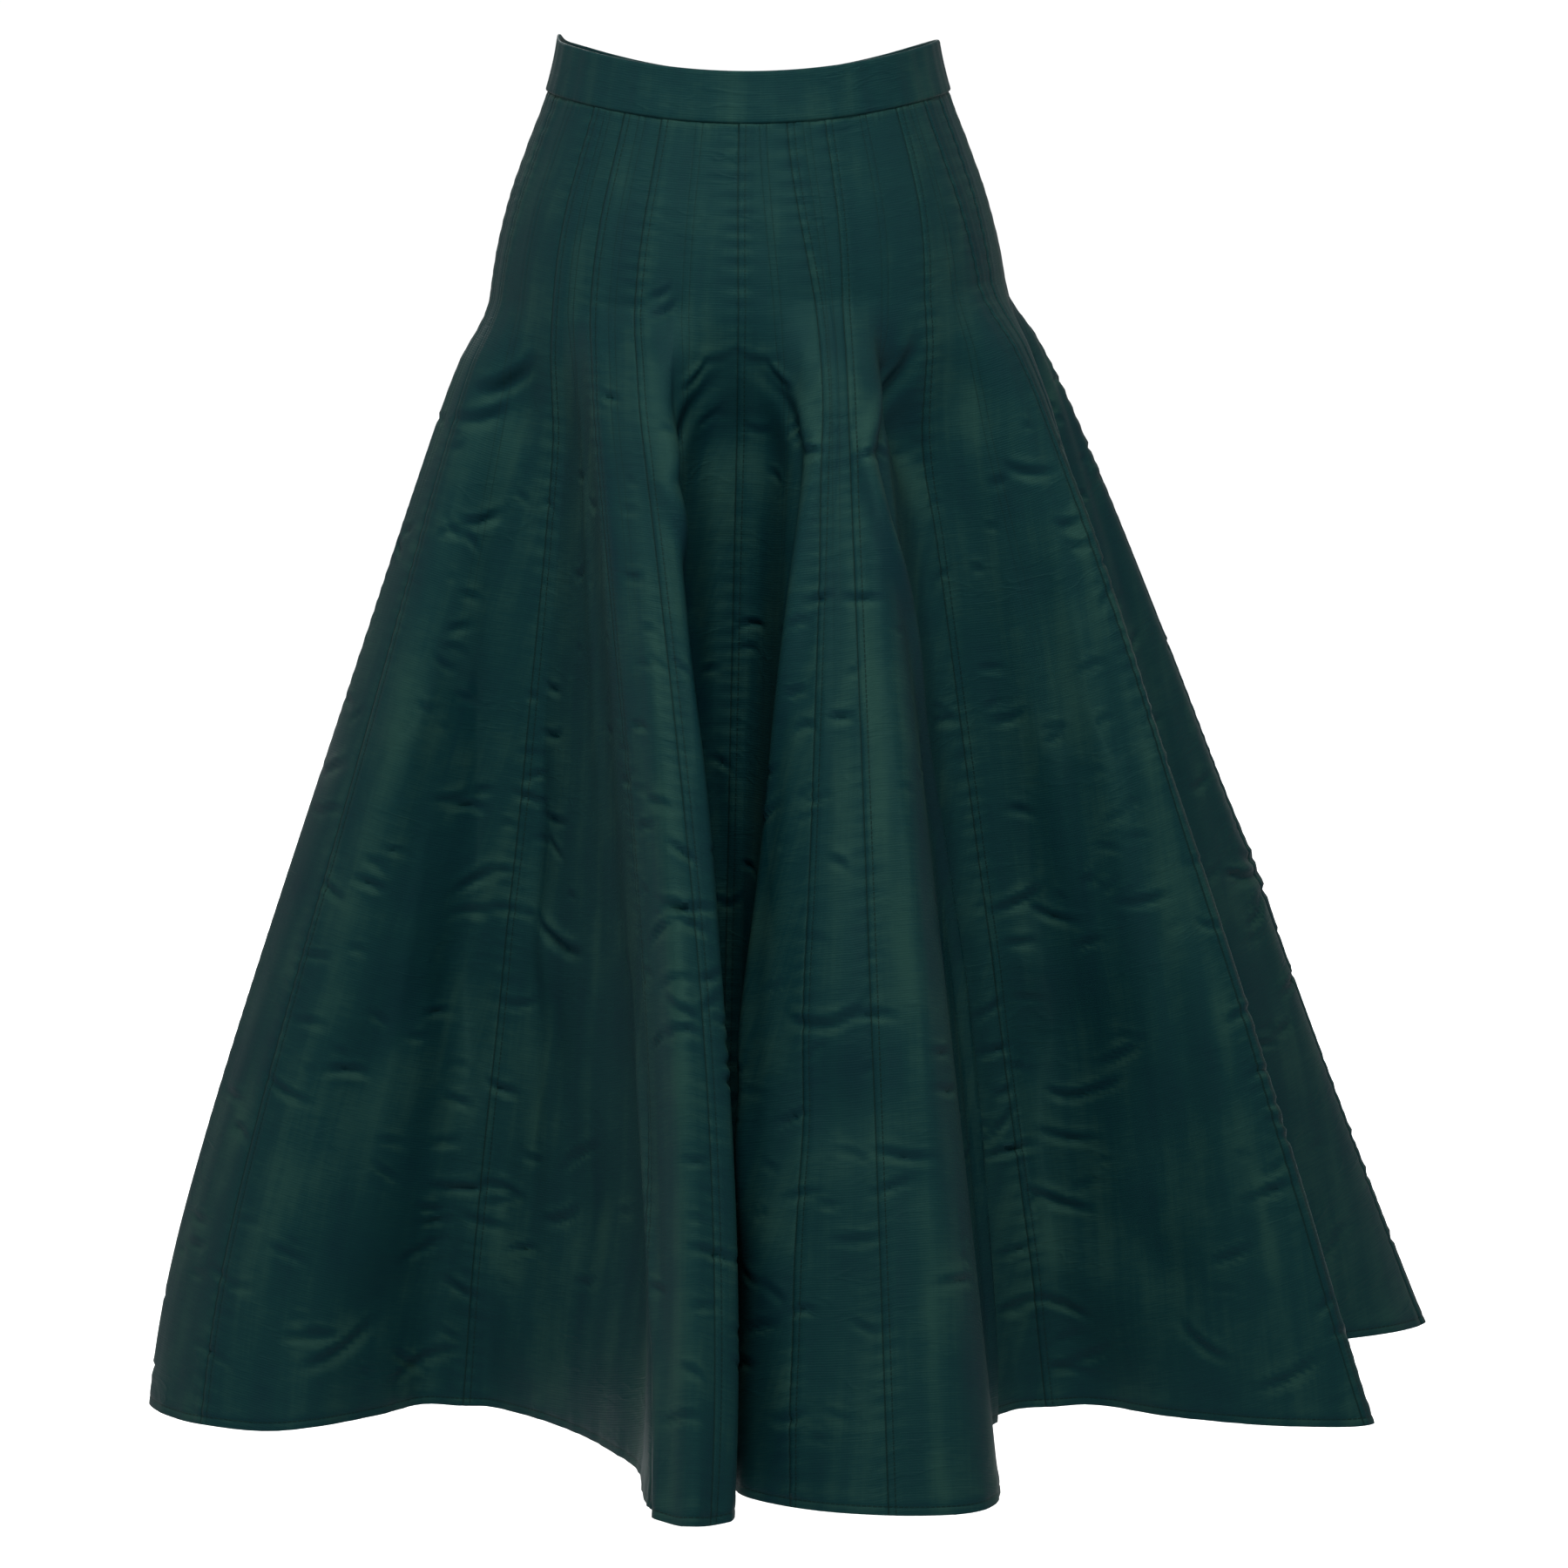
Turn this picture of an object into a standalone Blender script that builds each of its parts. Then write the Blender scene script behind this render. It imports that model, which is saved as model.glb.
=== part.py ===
"""Flared midi skirt with a narrow waistband, fitted to the hip and falling in eight deep stiff folds.

The skirt is cut in narrow gores, three to each fold. A gore seam runs down every trough between two folds.
Angles are measured from the front, which faces -Y, and grow towards the wearer's left, which is +X.
Heights are measured from the waist seam at the side of the body, so the hem is below zero.
"""
import math

import bpy
from mathutils import Matrix, Vector

# ---- main sizes, in metres
CLOTH = 0.0013
SEAM_GAP = 0.0003
HEM_Z = -0.830
NECK_Z = -0.222
HIP_Z = -0.150
# ---- where the folds open: the height, how much higher on the wearer's left, and how softly they start
RELEASE_Z = -0.126
RELEASE_TILT = 0.006
RELEASE_EASE = 0.040
RELEASE_START = 0.35
FLARE_POWER = 0.90
# ---- how far a trough is drawn in below the hip, and the part of that at its feet
POCKET = 0.016
POCKET_AT_FOOT = 0.80

# ---- the waistband
BAND_CLOTH = 0.0025
BAND_HEIGHT = 0.0325
BAND_COLUMNS = 88
BAND_ROWS = 2
BAND_END_GAP = 0.0004
# ---- a small rise of the band's top edge at the wearer's right side
CORNER_RISE = 0.0035
CORNER_ANGLE = 266.0
CORNER_SPREAD = 7.0

# ---- the closed concealed zip at the centre back, from the band's top edge to the foot of the hip
ZIP_TOP = 0.0285
ZIP_TAPE_HALF = 0.0120
ZIP_TAPE = 0.0007
ZIP_COIL_HALF = 0.0018
ZIP_COIL = 0.0018
ZIP_COIL_STEP = 0.0004
SLIDER_HEIGHT = 0.0215
SLIDER_WIDTH = 0.0044
SLIDER_LENGTH = 0.0092
SLIDER_DEPTH = 0.0014
LOOP_WIDTH = 0.0012
LOOP_SLOT = 0.0016
LOOP_WALL = 0.0006
LOOP_REACH = 0.0029
LOOP_LEG = 0.0007
PULL_BAR = 0.0005
PULL_WIDTH = 0.0036
PULL_ARM = 0.0008
PULL_ARM_LAP = 0.0010
PULL_WINDOW = 0.0040
PULL_LENGTH = 0.0200
PULL_END_WIDTH = 0.0050
PULL_PLATE = 0.0009
ROUND_END_STEPS = 10
BAR_SIDES = 20

# ---- how far the waist seam dips in the middle of the front and of the back
DIP_FRONT = 0.016
DIP_BACK = 0.025

# ---- the body's section under the cloth, from the waistband's top edge to the fullest part of the hip
BODY = [
    # height, half width, half depth
    (0.033, 0.1215, 0.0880),
    (0.000, 0.1290, 0.0940),
    (-0.030, 0.1405, 0.1020),
    (-0.065, 0.1530, 0.1115),
    (-0.100, 0.1620, 0.1190),
    (-0.140, 0.1680, 0.1250),
    (-0.190, 0.1715, 0.1280),
]

# ---- the folds, from the centre front round by the wearer's left
# waist, hip: angle of the seam in the trough before the fold, at the waist and below the hip
# head_from, head_to: angles of the two edges of the fold's head where the folds open
# trough_x, trough_y, floor, faces: the same trough at the hem, its middle, width and the way it faces
# tip_x, tip_y, aim, head: the fold's head at the hem, its middle, the way it points and its width
# roll_a, roll_b: how far its two edges roll back; tuck_a, tuck_b: how far its two flanks are drawn in
# bow: how far the head swings sideways at the most; late: how low that is, 2 for two thirds down
# seam: the rib that carries the first seam on the head
FOLD_COLUMNS = (
    "name", "waist", "hip", "head_from", "head_to", "trough_x", "trough_y", "floor", "faces", "tip_x",
    "tip_y", "aim", "head", "roll_a", "roll_b", "tuck_a", "tuck_b", "bow", "late", "seam",
)
FOLDS = [
    ("c", -2.3, -1.6, 15, 23.5, -0.020, -0.140, 0.030, 0, 0.062,
     -0.408, -20, 0.184, 0.025, 0.038, 0.010, 0.018, 0.000, 2, 4),
    ("d", 47, 39, 61, 74, 0.190, -0.148, 0.060, 14, 0.396,
     -0.188, 75, 0.052, 0.040, 0.024, -0.010, 0.010, 0.000, 2, 4),
    ("e", 96, 83, 97, 110, 0.258, -0.020, 0.040, 70, 0.452,
     0.092, 104, 0.080, 0.044, 0.030, -0.014, 0.016, 0.008, 2, 4),
    ("f", 138, 132, 147, 164, 0.205, 0.165, 0.044, 128, 0.285,
     0.368, 146, 0.090, 0.030, 0.034, 0.012, 0.014, 0.000, 2, 3),
    ("g", 180, 180, 194, 211, 0.000, 0.215, 0.050, 180, -0.115,
     0.430, 193, 0.100, 0.034, 0.030, 0.014, 0.012, 0.006, 2, 3),
    ("h", 220, 223, 234, 248, -0.195, 0.180, 0.048, 226, -0.335,
     0.252, 238, 0.080, 0.030, 0.030, 0.010, 0.012, 0.000, 2, 3),
    ("a", 262, 263, 277, 293, -0.238, 0.015, 0.044, 275, -0.358,
     -0.184, 310, 0.130, 0.010, 0.030, 0.016, -0.006, -0.0185, 4, 3),
    ("b", 311, 313.4, 323.5, 341, -0.182, -0.144, 0.056, 352, -0.028,
     -0.437, 4, 0.062, 0.034, 0.018, 0.037, 0.034, 0.014, 2, 3),
]

# ---- the ribs of one fold, in order: the trough, its foot, the flank, the head's edge, two on its face,
# and the second edge, flank and foot
RIBS = 9
RIB_FOOT, RIB_EDGE = 1, 3
STEPS_PER_RIB = 2
# ---- the two face ribs, as shares of the head's half width, and the foot and flank where the folds open
FACE_RIBS = (-0.45, 0.25)
FOOT_SHARE = 0.42
FLANK_SHARE = 0.80
# ---- the rib of a fold's last gore seam, and the rib where a line of stitching runs down its last gore
LAST_SEAM = 5
STITCHED_RIB = 6

# ---- heights of the rows down a gore, close together where the folds open
ROWS_HIP = 6
ROWS_NECK = 4
ROWS_SKIRT = 8

# ---- small steps that the slope of the body's surface is measured over
SLOPE_STEP = 0.001
SLOPE_TURN = 0.5

# ---- finishes
CREASE_ANGLE = 40.0
FAILLE = (0.030, 0.105, 0.100)
PAINTED_METAL = (0.020, 0.075, 0.072)
FAILLE_ROUGHNESS = 0.42
TAPE_ROUGHNESS = 0.60
METAL_ROUGHNESS = 0.35
METAL_SHARE = 0.60


def smooth(value):
    """Ease from nought to one."""
    value = min(1.0, max(0.0, value))
    return value * value * (3.0 - 2.0 * value)


def blend(first, second, share):
    return first + (second - first) * share


def plan_direction(angle):
    """Unit vector in plan, in degrees from the front towards +X."""
    turn = math.radians(angle)
    return Vector((math.sin(turn), -math.cos(turn), 0.0))


def square_to(direction):
    """The way along the ring, towards the next fold, for a direction pointing out of it."""
    return Vector((-direction.y, direction.x, 0.0))


def body_section(height):
    """Half width and half depth of the body at a height, on a smooth curve through the table."""
    count = len(BODY)
    if height >= BODY[0][0]:
        return BODY[0][1], BODY[0][2]
    if height <= BODY[-1][0]:
        return BODY[-1][1], BODY[-1][2]
    row = next(i for i in range(count - 1) if BODY[i + 1][0] <= height)
    share = (BODY[row][0] - height) / (BODY[row][0] - BODY[row + 1][0])
    found = []
    for column in (1, 2):
        points = [BODY[min(count - 1, max(0, row + k))][column] for k in (-1, 0, 1, 2)]
        found.append(catmull(points, share))
    return found[0], found[1]


def catmull(points, share):
    """Smooth curve through four values, between the second and the third."""
    before, start, end, after = points
    linear = end - before
    square = 2.0 * before - 5.0 * start + 4.0 * end - after
    cube = 3.0 * (start - end) + after - before
    return start + 0.5 * share * (linear + share * (square + share * cube))


def body_point(angle, height):
    half_width, half_depth = body_section(height)
    way = plan_direction(angle)
    return Vector((way.x * half_width, way.y * half_depth, 0.0))


def waist_dip(angle):
    """Drop of the waist seam below its height at the sides."""
    front = math.cos(math.radians(angle))
    return DIP_FRONT * front ** 2 if front > 0.0 else DIP_BACK * front ** 2


def dipped(height, angle):
    """Height after the waist's dip, which fades out down the hip."""
    fade = 1.0 - smooth(height / HIP_Z) if height < 0.0 else 1.0
    return height - waist_dip(angle) * fade


def fold_rows():
    return [dict(zip(FOLD_COLUMNS, row)) for row in FOLDS]


def hem_ribs():
    """Plan positions of all ribs at the hem."""
    rows = fold_rows()
    ribs = []
    for number, fold in enumerate(rows):
        following = rows[(number + 1) % len(rows)]
        trough = Vector((fold["trough_x"], fold["trough_y"], 0.0))
        next_trough = Vector((following["trough_x"], following["trough_y"], 0.0))
        tip = Vector((fold["tip_x"], fold["tip_y"], 0.0))
        out = plan_direction(fold["aim"])
        across = square_to(out)
        half = fold["head"] / 2.0
        foot_a = trough + square_to(plan_direction(fold["faces"])) * (fold["floor"] / 2.0)
        foot_b = next_trough - square_to(plan_direction(following["faces"])) * (following["floor"] / 2.0)
        edge_a = tip - across * half - out * fold["roll_a"]
        edge_b = tip + across * half - out * fold["roll_b"]
        flank_a = (foot_a + edge_a) / 2.0 + across * fold["tuck_a"]
        flank_b = (foot_b + edge_b) / 2.0 - across * fold["tuck_b"]
        face_a = tip + across * (half * FACE_RIBS[0])
        face_b = tip + across * (half * FACE_RIBS[1])
        ribs += [trough, foot_a, flank_a, edge_a, face_a, face_b, edge_b, flank_b, foot_b]
    return ribs


def rib_angles():
    """Angles of all ribs on the body, at the waist and where the folds open."""
    rows = fold_rows()
    waist, neck = [], []
    for number, fold in enumerate(rows):
        following = rows[(number + 1) % len(rows)]
        full_turn = 360.0 if following["waist"] < fold["waist"] else 0.0
        hip_turn = 360.0 if following["hip"] < fold["hip"] else 0.0
        next_waist = following["waist"] + full_turn
        next_hip = following["hip"] + hip_turn
        start, end = fold["hip"], next_hip
        head_a, head_b = fold["head_from"], fold["head_to"]
        neck += [start, blend(start, head_a, FOOT_SHARE), blend(start, head_a, FLANK_SHARE), head_a]
        neck += [blend(head_a, head_b, (1.0 + face) / 2.0) for face in FACE_RIBS] + [head_b]
        neck += [blend(end, head_b, FLANK_SHARE), blend(end, head_b, FOOT_SHARE)]
        waist += waist_ribs(fold["waist"], next_waist, fold["seam"])
    return waist, neck


def waist_ribs(start, end, first_seam):
    """Seams and stitched lines are evenly spaced at the waist, and so are the ribs between two of them."""
    lines = [0, first_seam, LAST_SEAM, STITCHED_RIB, RIBS]
    width = (end - start) / (len(lines) - 1)
    found = []
    for rib in range(RIBS):
        panel = max(i for i in range(len(lines) - 1) if lines[i] <= rib)
        share = (rib - lines[panel]) / (lines[panel + 1] - lines[panel])
        found.append(start + width * (panel + share))
    return found


def flare(height, angle):
    """Share of the way from the hip to the hem's plan, nought above the point where the folds open."""
    release = RELEASE_Z + RELEASE_TILT * math.sin(math.radians(angle))
    if height >= release:
        return 0.0
    drop = (release - height) / (release - HEM_Z)
    opened = RELEASE_START + (1.0 - RELEASE_START) * (release - height) / RELEASE_EASE
    return drop ** FLARE_POWER * smooth(opened)


def swing(share, late):
    """Sideways swing of a fold's head down its length, one where it is greatest."""
    greatest = (late / (late + 1.0)) ** late / (late + 1.0)
    return share ** late * (1.0 - share) / greatest


def pocket(height):
    """How far the troughs are drawn in just below the hip, fading towards the hem."""
    opening = smooth((RELEASE_Z - height) / (RELEASE_Z - NECK_Z))
    closing = 1.0 - smooth((NECK_Z - height) / (NECK_Z - HEM_Z))
    return POCKET * opening * closing


def ring_ribs(height):
    """Plan positions of all ribs at one height."""
    settle = smooth(height / NECK_Z)
    drawn = pocket(height)
    weights = {0: 1.0, RIB_FOOT: POCKET_AT_FOOT, RIBS - RIB_FOOT: POCKET_AT_FOOT}
    folds = fold_rows()
    found = []
    for number, hem_rib in enumerate(HEM_RIBS):
        share = flare(height, NECK_ANGLES[number])
        angle = blend(WAIST_ANGLES[number], NECK_ANGLES[number], settle)
        point = body_point(angle, height).lerp(hem_rib, share)
        weight = weights.get(number % RIBS, 0.0)
        point -= plan_direction(angle) * (drawn * weight)
        fold = folds[number // RIBS]
        if RIB_EDGE <= number % RIBS <= RIBS - RIB_EDGE:
            aside = square_to(plan_direction(fold["aim"]))
            point += aside * (fold["bow"] * swing(share, fold["late"]))
        found.append(point)
    return found


def curve_point(ribs, position):
    """Point of the closed smooth curve that the ribs draw, at a position counted in ribs."""
    count = len(ribs)
    nearest = int(math.floor(position + 0.5))
    share = position - nearest + 0.5
    before = ribs[(nearest - 1) % count]
    here = ribs[nearest % count]
    after = ribs[(nearest + 1) % count]
    first = 0.5 * (1.0 - share) ** 2
    last = 0.5 * share ** 2
    return before * first + here * (1.0 - first - last) + after * last


def surface_point(position, height, ribs):
    """Point of the cloth's outer face; near the waist it follows the dipping waist seam."""
    point = curve_point(ribs, position)
    half_width, half_depth = body_section(height)
    angle = math.degrees(math.atan2(point.x / half_width, -point.y / half_depth))
    return Vector((point.x, point.y, dipped(height, angle)))


def row_heights():
    heights = [RELEASE_Z * row / ROWS_HIP for row in range(ROWS_HIP)]
    heights += [blend(RELEASE_Z, NECK_Z, row / ROWS_NECK) for row in range(ROWS_NECK)]
    heights += [blend(NECK_Z, HEM_Z, row / ROWS_SKIRT) for row in range(ROWS_SKIRT + 1)]
    return heights


def cloth_grid():
    """Points, outward normals and ways along the ring for every row and column of the skirt."""
    total = len(HEM_RIBS) * STEPS_PER_RIB
    heights = row_heights()
    points = []
    for height in heights:
        ribs = ring_ribs(height)
        points.append([surface_point(column / STEPS_PER_RIB, height, ribs) for column in range(total)])
    normals, ways = [], []
    last = len(heights) - 1
    for row in range(len(heights)):
        normals.append([])
        ways.append([])
        for column in range(total):
            along = points[row][(column + 1) % total] - points[row][column - 1]
            down = points[min(row + 1, last)][column] - points[max(row - 1, 0)][column]
            normals[row].append(down.cross(along).normalized())
            ways[row].append(along.normalized())
    return points, normals, ways


def add_material(item, colour, roughness, metallic=0.0):
    material = bpy.data.materials.new(item.name + "_material")
    material.use_nodes = True
    shader = material.node_tree.nodes["Principled BSDF"]
    shader.inputs["Base Color"].default_value = (*colour, 1.0)
    shader.inputs["Roughness"].default_value = roughness
    shader.inputs["Metallic"].default_value = metallic
    item.data.materials.append(material)


def add_shell(name, outer, inner):
    """Closed wall between two grids of points, whose columns run along the ring and whose rows run down."""
    rows, columns = len(outer), len(outer[0])
    vertices = [tuple(point) for grid in (outer, inner) for line in grid for point in line]
    size = rows * columns

    def at(side, row, column):
        return side * size + row * columns + column

    faces = []
    for row in range(rows - 1):
        for column in range(columns - 1):
            corners = [(row, column), (row + 1, column), (row + 1, column + 1), (row, column + 1)]
            faces.append([at(0, *corner) for corner in corners])
            faces.append([at(1, *corner) for corner in reversed(corners)])
    border = [(0, column) for column in range(columns)]
    border += [(row, columns - 1) for row in range(1, rows)]
    border += [(rows - 1, column) for column in range(columns - 2, -1, -1)]
    border += [(row, 0) for row in range(rows - 2, 0, -1)]
    for first, second in zip(border, border[1:] + border[:1]):
        faces.append([at(0, *first), at(0, *second), at(1, *second), at(1, *first)])
    mesh = bpy.data.meshes.new(name)
    mesh.from_pydata(vertices, [], faces)
    mesh.update()
    item = bpy.data.objects.new(name, mesh)
    bpy.context.scene.collection.objects.link(item)
    mesh.shade_smooth()
    mesh.set_sharp_from_angle(angle=math.radians(CREASE_ANGLE))
    return item


def build_gores(points, normals, ways):
    """One closed panel between each two neighbouring seams."""
    total = len(points[0])
    seams = []
    for number, fold in enumerate(fold_rows()):
        for gore, seam in enumerate((0, fold["seam"], LAST_SEAM)):
            label = f"gore_{fold['name']}{gore + 1}"
            seams.append((label, (number * RIBS + seam) * STEPS_PER_RIB))
    for number, (label, start) in enumerate(seams):
        end = seams[(number + 1) % len(seams)][1]
        if end <= start:
            end += total
        outer, inner = [], []
        for row in range(len(points)):
            outer_line, inner_line = [], []
            for column in range(start, end + 1):
                place = column % total
                point = points[row][place].copy()
                if column == start:
                    point += ways[row][place] * (SEAM_GAP / 2.0)
                if column == end:
                    point -= ways[row][place] * (SEAM_GAP / 2.0)
                outer_line.append(point)
                inner_line.append(point - normals[row][place] * CLOTH)
            outer.append(outer_line)
            inner.append(inner_line)
        item = add_shell(label, outer, inner)
        add_material(item, FAILLE, FAILLE_ROUGHNESS)


def body_frame(angle, height, proud):
    """Point on the hip or the band, moved out by proud, with its outward normal; both follow the dip."""
    here = body_point(angle, height)
    along = body_point(angle + SLOPE_TURN, height) - body_point(angle - SLOPE_TURN, height)
    down = body_point(angle, height - SLOPE_STEP) - body_point(angle, height + SLOPE_STEP)
    down.z = -2.0 * SLOPE_STEP
    normal = down.cross(along).normalized()
    here.z = dipped(height, angle)
    return here + normal * proud, normal


def corner_rise(angle):
    away = (angle % 360.0 - CORNER_ANGLE) / CORNER_SPREAD
    return CORNER_RISE * math.exp(-away * away)


def build_band():
    """One straight strip round the waist, its two ends meeting at the centre back."""
    proud = BAND_CLOTH - CLOTH
    end_turn = math.degrees(BAND_END_GAP / 2.0 / BODY[1][1])
    outer, inner = [], []
    for row in range(BAND_ROWS + 1):
        share = 1.0 - row / BAND_ROWS
        outer_line, inner_line = [], []
        for column in range(BAND_COLUMNS + 1):
            angle = blend(180.0 + end_turn, 540.0 - end_turn, column / BAND_COLUMNS)
            height = SEAM_GAP + (BAND_HEIGHT + corner_rise(angle)) * share
            point, normal = body_frame(angle, height, proud)
            outer_line.append(point)
            inner_line.append(point - normal * BAND_CLOTH)
        outer.append(outer_line)
        inner.append(inner_line)
    item = add_shell("waistband", outer, inner)
    add_material(item, FAILLE, FAILLE_ROUGHNESS)


def build_zip_tape():
    """Both tapes with their closed coil, lying against the inside of the seam and of the band."""
    heights = [ZIP_TOP, ZIP_TOP / 2.0] + [RELEASE_Z * row / ROWS_HIP for row in range(ROWS_HIP + 1)]
    edge = ZIP_COIL_HALF + ZIP_COIL_STEP
    places = [
        (-ZIP_TAPE_HALF, ZIP_TAPE), (-edge, ZIP_TAPE), (-ZIP_COIL_HALF, ZIP_COIL),
        (ZIP_COIL_HALF, ZIP_COIL), (edge, ZIP_TAPE), (ZIP_TAPE_HALF, ZIP_TAPE),
    ]
    outer, inner = [], []
    for height in heights:
        half_width = body_section(height)[0]
        outer_line, inner_line = [], []
        for across, depth in places:
            angle = 180.0 + math.degrees(across / half_width)
            under, normal = body_frame(angle, height, -(CLOTH + SEAM_GAP))
            outer_line.append(under)
            inner_line.append(under - normal * depth)
        outer.append(outer_line)
        inner.append(inner_line)
    item = add_shell("zip_tape", outer, inner)
    add_material(item, FAILLE, TAPE_ROUGHNESS)


def slider_frame():
    """Frame on the band's outer face at the centre back: x along the band, y out of it, z up its slope."""
    point, normal = body_frame(180.0, SLIDER_HEIGHT, BAND_CLOTH - CLOTH + SEAM_GAP)
    side = Vector((1.0, 0.0, 0.0))
    up = side.cross(normal).normalized()
    frame = Matrix((side, normal, up)).transposed().to_4x4()
    frame.translation = point
    return frame


def add_solid(name, vertices, faces, frame):
    mesh = bpy.data.meshes.new(name)
    mesh.from_pydata(vertices, [], faces)
    mesh.update()
    item = bpy.data.objects.new(name, mesh)
    item.matrix_world = frame
    bpy.context.scene.collection.objects.link(item)
    return item


def add_block(name, low, high, frame):
    corners = [(x, y, z) for z in (low[2], high[2]) for y in (low[1], high[1]) for x in (low[0], high[0])]
    faces = [(0, 2, 3, 1), (4, 5, 7, 6), (0, 1, 5, 4), (2, 6, 7, 3), (0, 4, 6, 2), (1, 3, 7, 5)]
    return add_solid(name, corners, faces, frame)


def join_solids(item, extra, operation="UNION"):
    modifier = item.modifiers.new(operation.lower(), "BOOLEAN")
    modifier.operation = operation
    modifier.object = extra
    extra.hide_render = True
    extra.display_type = "WIRE"


def build_slider(frame):
    """The slider's body with the loop that holds the pull's bar."""
    half_width, half_length = SLIDER_WIDTH / 2.0, SLIDER_LENGTH / 2.0
    body = add_block(
        "zip_slider", (-half_width, 0.0, -half_length), (half_width, SLIDER_DEPTH, half_length), frame
    )
    half_loop = LOOP_WIDTH / 2.0
    top = SLIDER_DEPTH + LOOP_SLOT + LOOP_WALL
    loop = add_block(
        "slider_loop", (-half_loop, SLIDER_DEPTH / 2.0, -LOOP_REACH), (half_loop, top, LOOP_REACH), frame
    )
    inside = LOOP_REACH - LOOP_LEG
    slot_top = SLIDER_DEPTH + LOOP_SLOT
    slot = add_block(
        "slider_slot", (-half_width, SLIDER_DEPTH, -inside), (half_width, slot_top, inside), frame
    )
    join_solids(body, loop)
    join_solids(body, slot, "DIFFERENCE")
    add_material(body, PAINTED_METAL, METAL_ROUGHNESS, METAL_SHARE)


def pull_outline():
    """Outline of the pull's plate in x and z, from its two arms down to its round end."""
    half, half_end = PULL_WIDTH / 2.0, PULL_END_WIDTH / 2.0
    start = -(PULL_LENGTH - half_end)
    points = [(-half, -PULL_WINDOW), (half, -PULL_WINDOW)]
    for step in range(ROUND_END_STEPS + 1):
        turn = math.pi * step / ROUND_END_STEPS
        points.append((half_end * math.cos(turn), start - half_end * math.sin(turn)))
    return points


def build_pull(frame):
    """The pull: a bar in the slider's loop, two arms and a drop-shaped plate; its origin is on the bar."""
    pivot = frame @ Matrix.Translation((0.0, SLIDER_DEPTH + LOOP_SLOT / 2.0, 0.0))
    outline = pull_outline()
    count = len(outline)
    half = PULL_PLATE / 2.0
    vertices = [(x, side, z) for side in (-half, half) for x, z in outline]
    faces = [tuple(range(count)), tuple(range(2 * count - 1, count - 1, -1))]
    for first in range(count):
        second = (first + 1) % count
        faces.append((second, first, first + count, second + count))
    plate = add_solid("zip_pull", vertices, faces, pivot)
    outside = PULL_WIDTH / 2.0
    for side, label in ((-1.0, "pull_arm_a"), (1.0, "pull_arm_b")):
        ends = sorted((side * outside, side * (outside - PULL_ARM)))
        foot = -(PULL_WINDOW + PULL_ARM_LAP)
        arm = add_block(label, (ends[0], -half, foot), (ends[1], half, 0.0), pivot)
        join_solids(plate, arm)
    turns = [2.0 * math.pi * side / BAR_SIDES for side in range(BAR_SIDES)]
    ring = [(PULL_BAR * math.cos(turn), PULL_BAR * math.sin(turn)) for turn in turns]
    bar_points = [(x, y, z) for x in (-outside, outside) for y, z in ring]
    bar_faces = [tuple(range(BAR_SIDES - 1, -1, -1)), tuple(range(BAR_SIDES, 2 * BAR_SIDES))]
    for first in range(BAR_SIDES):
        second = (first + 1) % BAR_SIDES
        bar_faces.append((first, second, second + BAR_SIDES, first + BAR_SIDES))
    bar = add_solid("pull_bar", bar_points, bar_faces, pivot)
    join_solids(plate, bar)
    add_material(plate, PAINTED_METAL, METAL_ROUGHNESS, METAL_SHARE)


def clear_scene():
    for item in list(bpy.data.objects):
        bpy.data.objects.remove(item, do_unlink=True)


clear_scene()
HEM_RIBS = hem_ribs()
WAIST_ANGLES, NECK_ANGLES = rib_angles()
build_gores(*cloth_grid())
build_band()
build_zip_tape()
SLIDER = slider_frame()
build_slider(SLIDER)
build_pull(SLIDER)
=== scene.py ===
import math
import random

import bmesh
import bpy
import numpy as np
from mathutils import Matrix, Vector


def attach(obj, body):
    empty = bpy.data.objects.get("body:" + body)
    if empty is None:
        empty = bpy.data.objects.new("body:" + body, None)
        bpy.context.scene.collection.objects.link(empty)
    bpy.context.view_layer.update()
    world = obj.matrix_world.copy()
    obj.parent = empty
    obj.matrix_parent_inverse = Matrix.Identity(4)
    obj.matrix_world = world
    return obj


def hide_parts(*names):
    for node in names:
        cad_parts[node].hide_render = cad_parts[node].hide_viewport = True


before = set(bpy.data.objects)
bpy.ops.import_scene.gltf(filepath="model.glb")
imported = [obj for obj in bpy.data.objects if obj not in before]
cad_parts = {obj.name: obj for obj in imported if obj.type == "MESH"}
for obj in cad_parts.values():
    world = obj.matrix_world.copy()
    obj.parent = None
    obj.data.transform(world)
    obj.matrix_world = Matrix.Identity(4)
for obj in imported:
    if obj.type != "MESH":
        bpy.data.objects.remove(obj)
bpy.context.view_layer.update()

# ---- Skirt panels
# Twenty-four gores of stiff silk faille, cut to fit the hip and to spread into eight deep folds.
# They are seamed lengthwise, topstitched beside each seam, and the hem is turned up and stitched.
HEM_Z = -0.830
HIP_Z = -0.150
NECK_Z = -0.222
RELEASE_Z = -0.126
RELEASE_TILT = 0.006
RELEASE_EASE = 0.040
RELEASE_START = 0.35
FLARE_POWER = 0.90
POCKET = 0.016
POCKET_AT_FOOT = 0.80
DIP_FRONT = 0.016
DIP_BACK = 0.025
RIBS = 9
RIB_EDGE = 3
LAST_SEAM = 5
STITCHED_RIB = 6
FACE_RIBS = (-0.45, 0.25)
FOOT_SHARE = 0.42
FLANK_SHARE = 0.80

BODY = np.array([
    # height, half width, half depth
    (0.033, 0.1215, 0.0880),
    (0.000, 0.1290, 0.0940),
    (-0.030, 0.1405, 0.1020),
    (-0.065, 0.1530, 0.1115),
    (-0.100, 0.1620, 0.1190),
    (-0.140, 0.1680, 0.1250),
    (-0.190, 0.1715, 0.1280),
])

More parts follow.
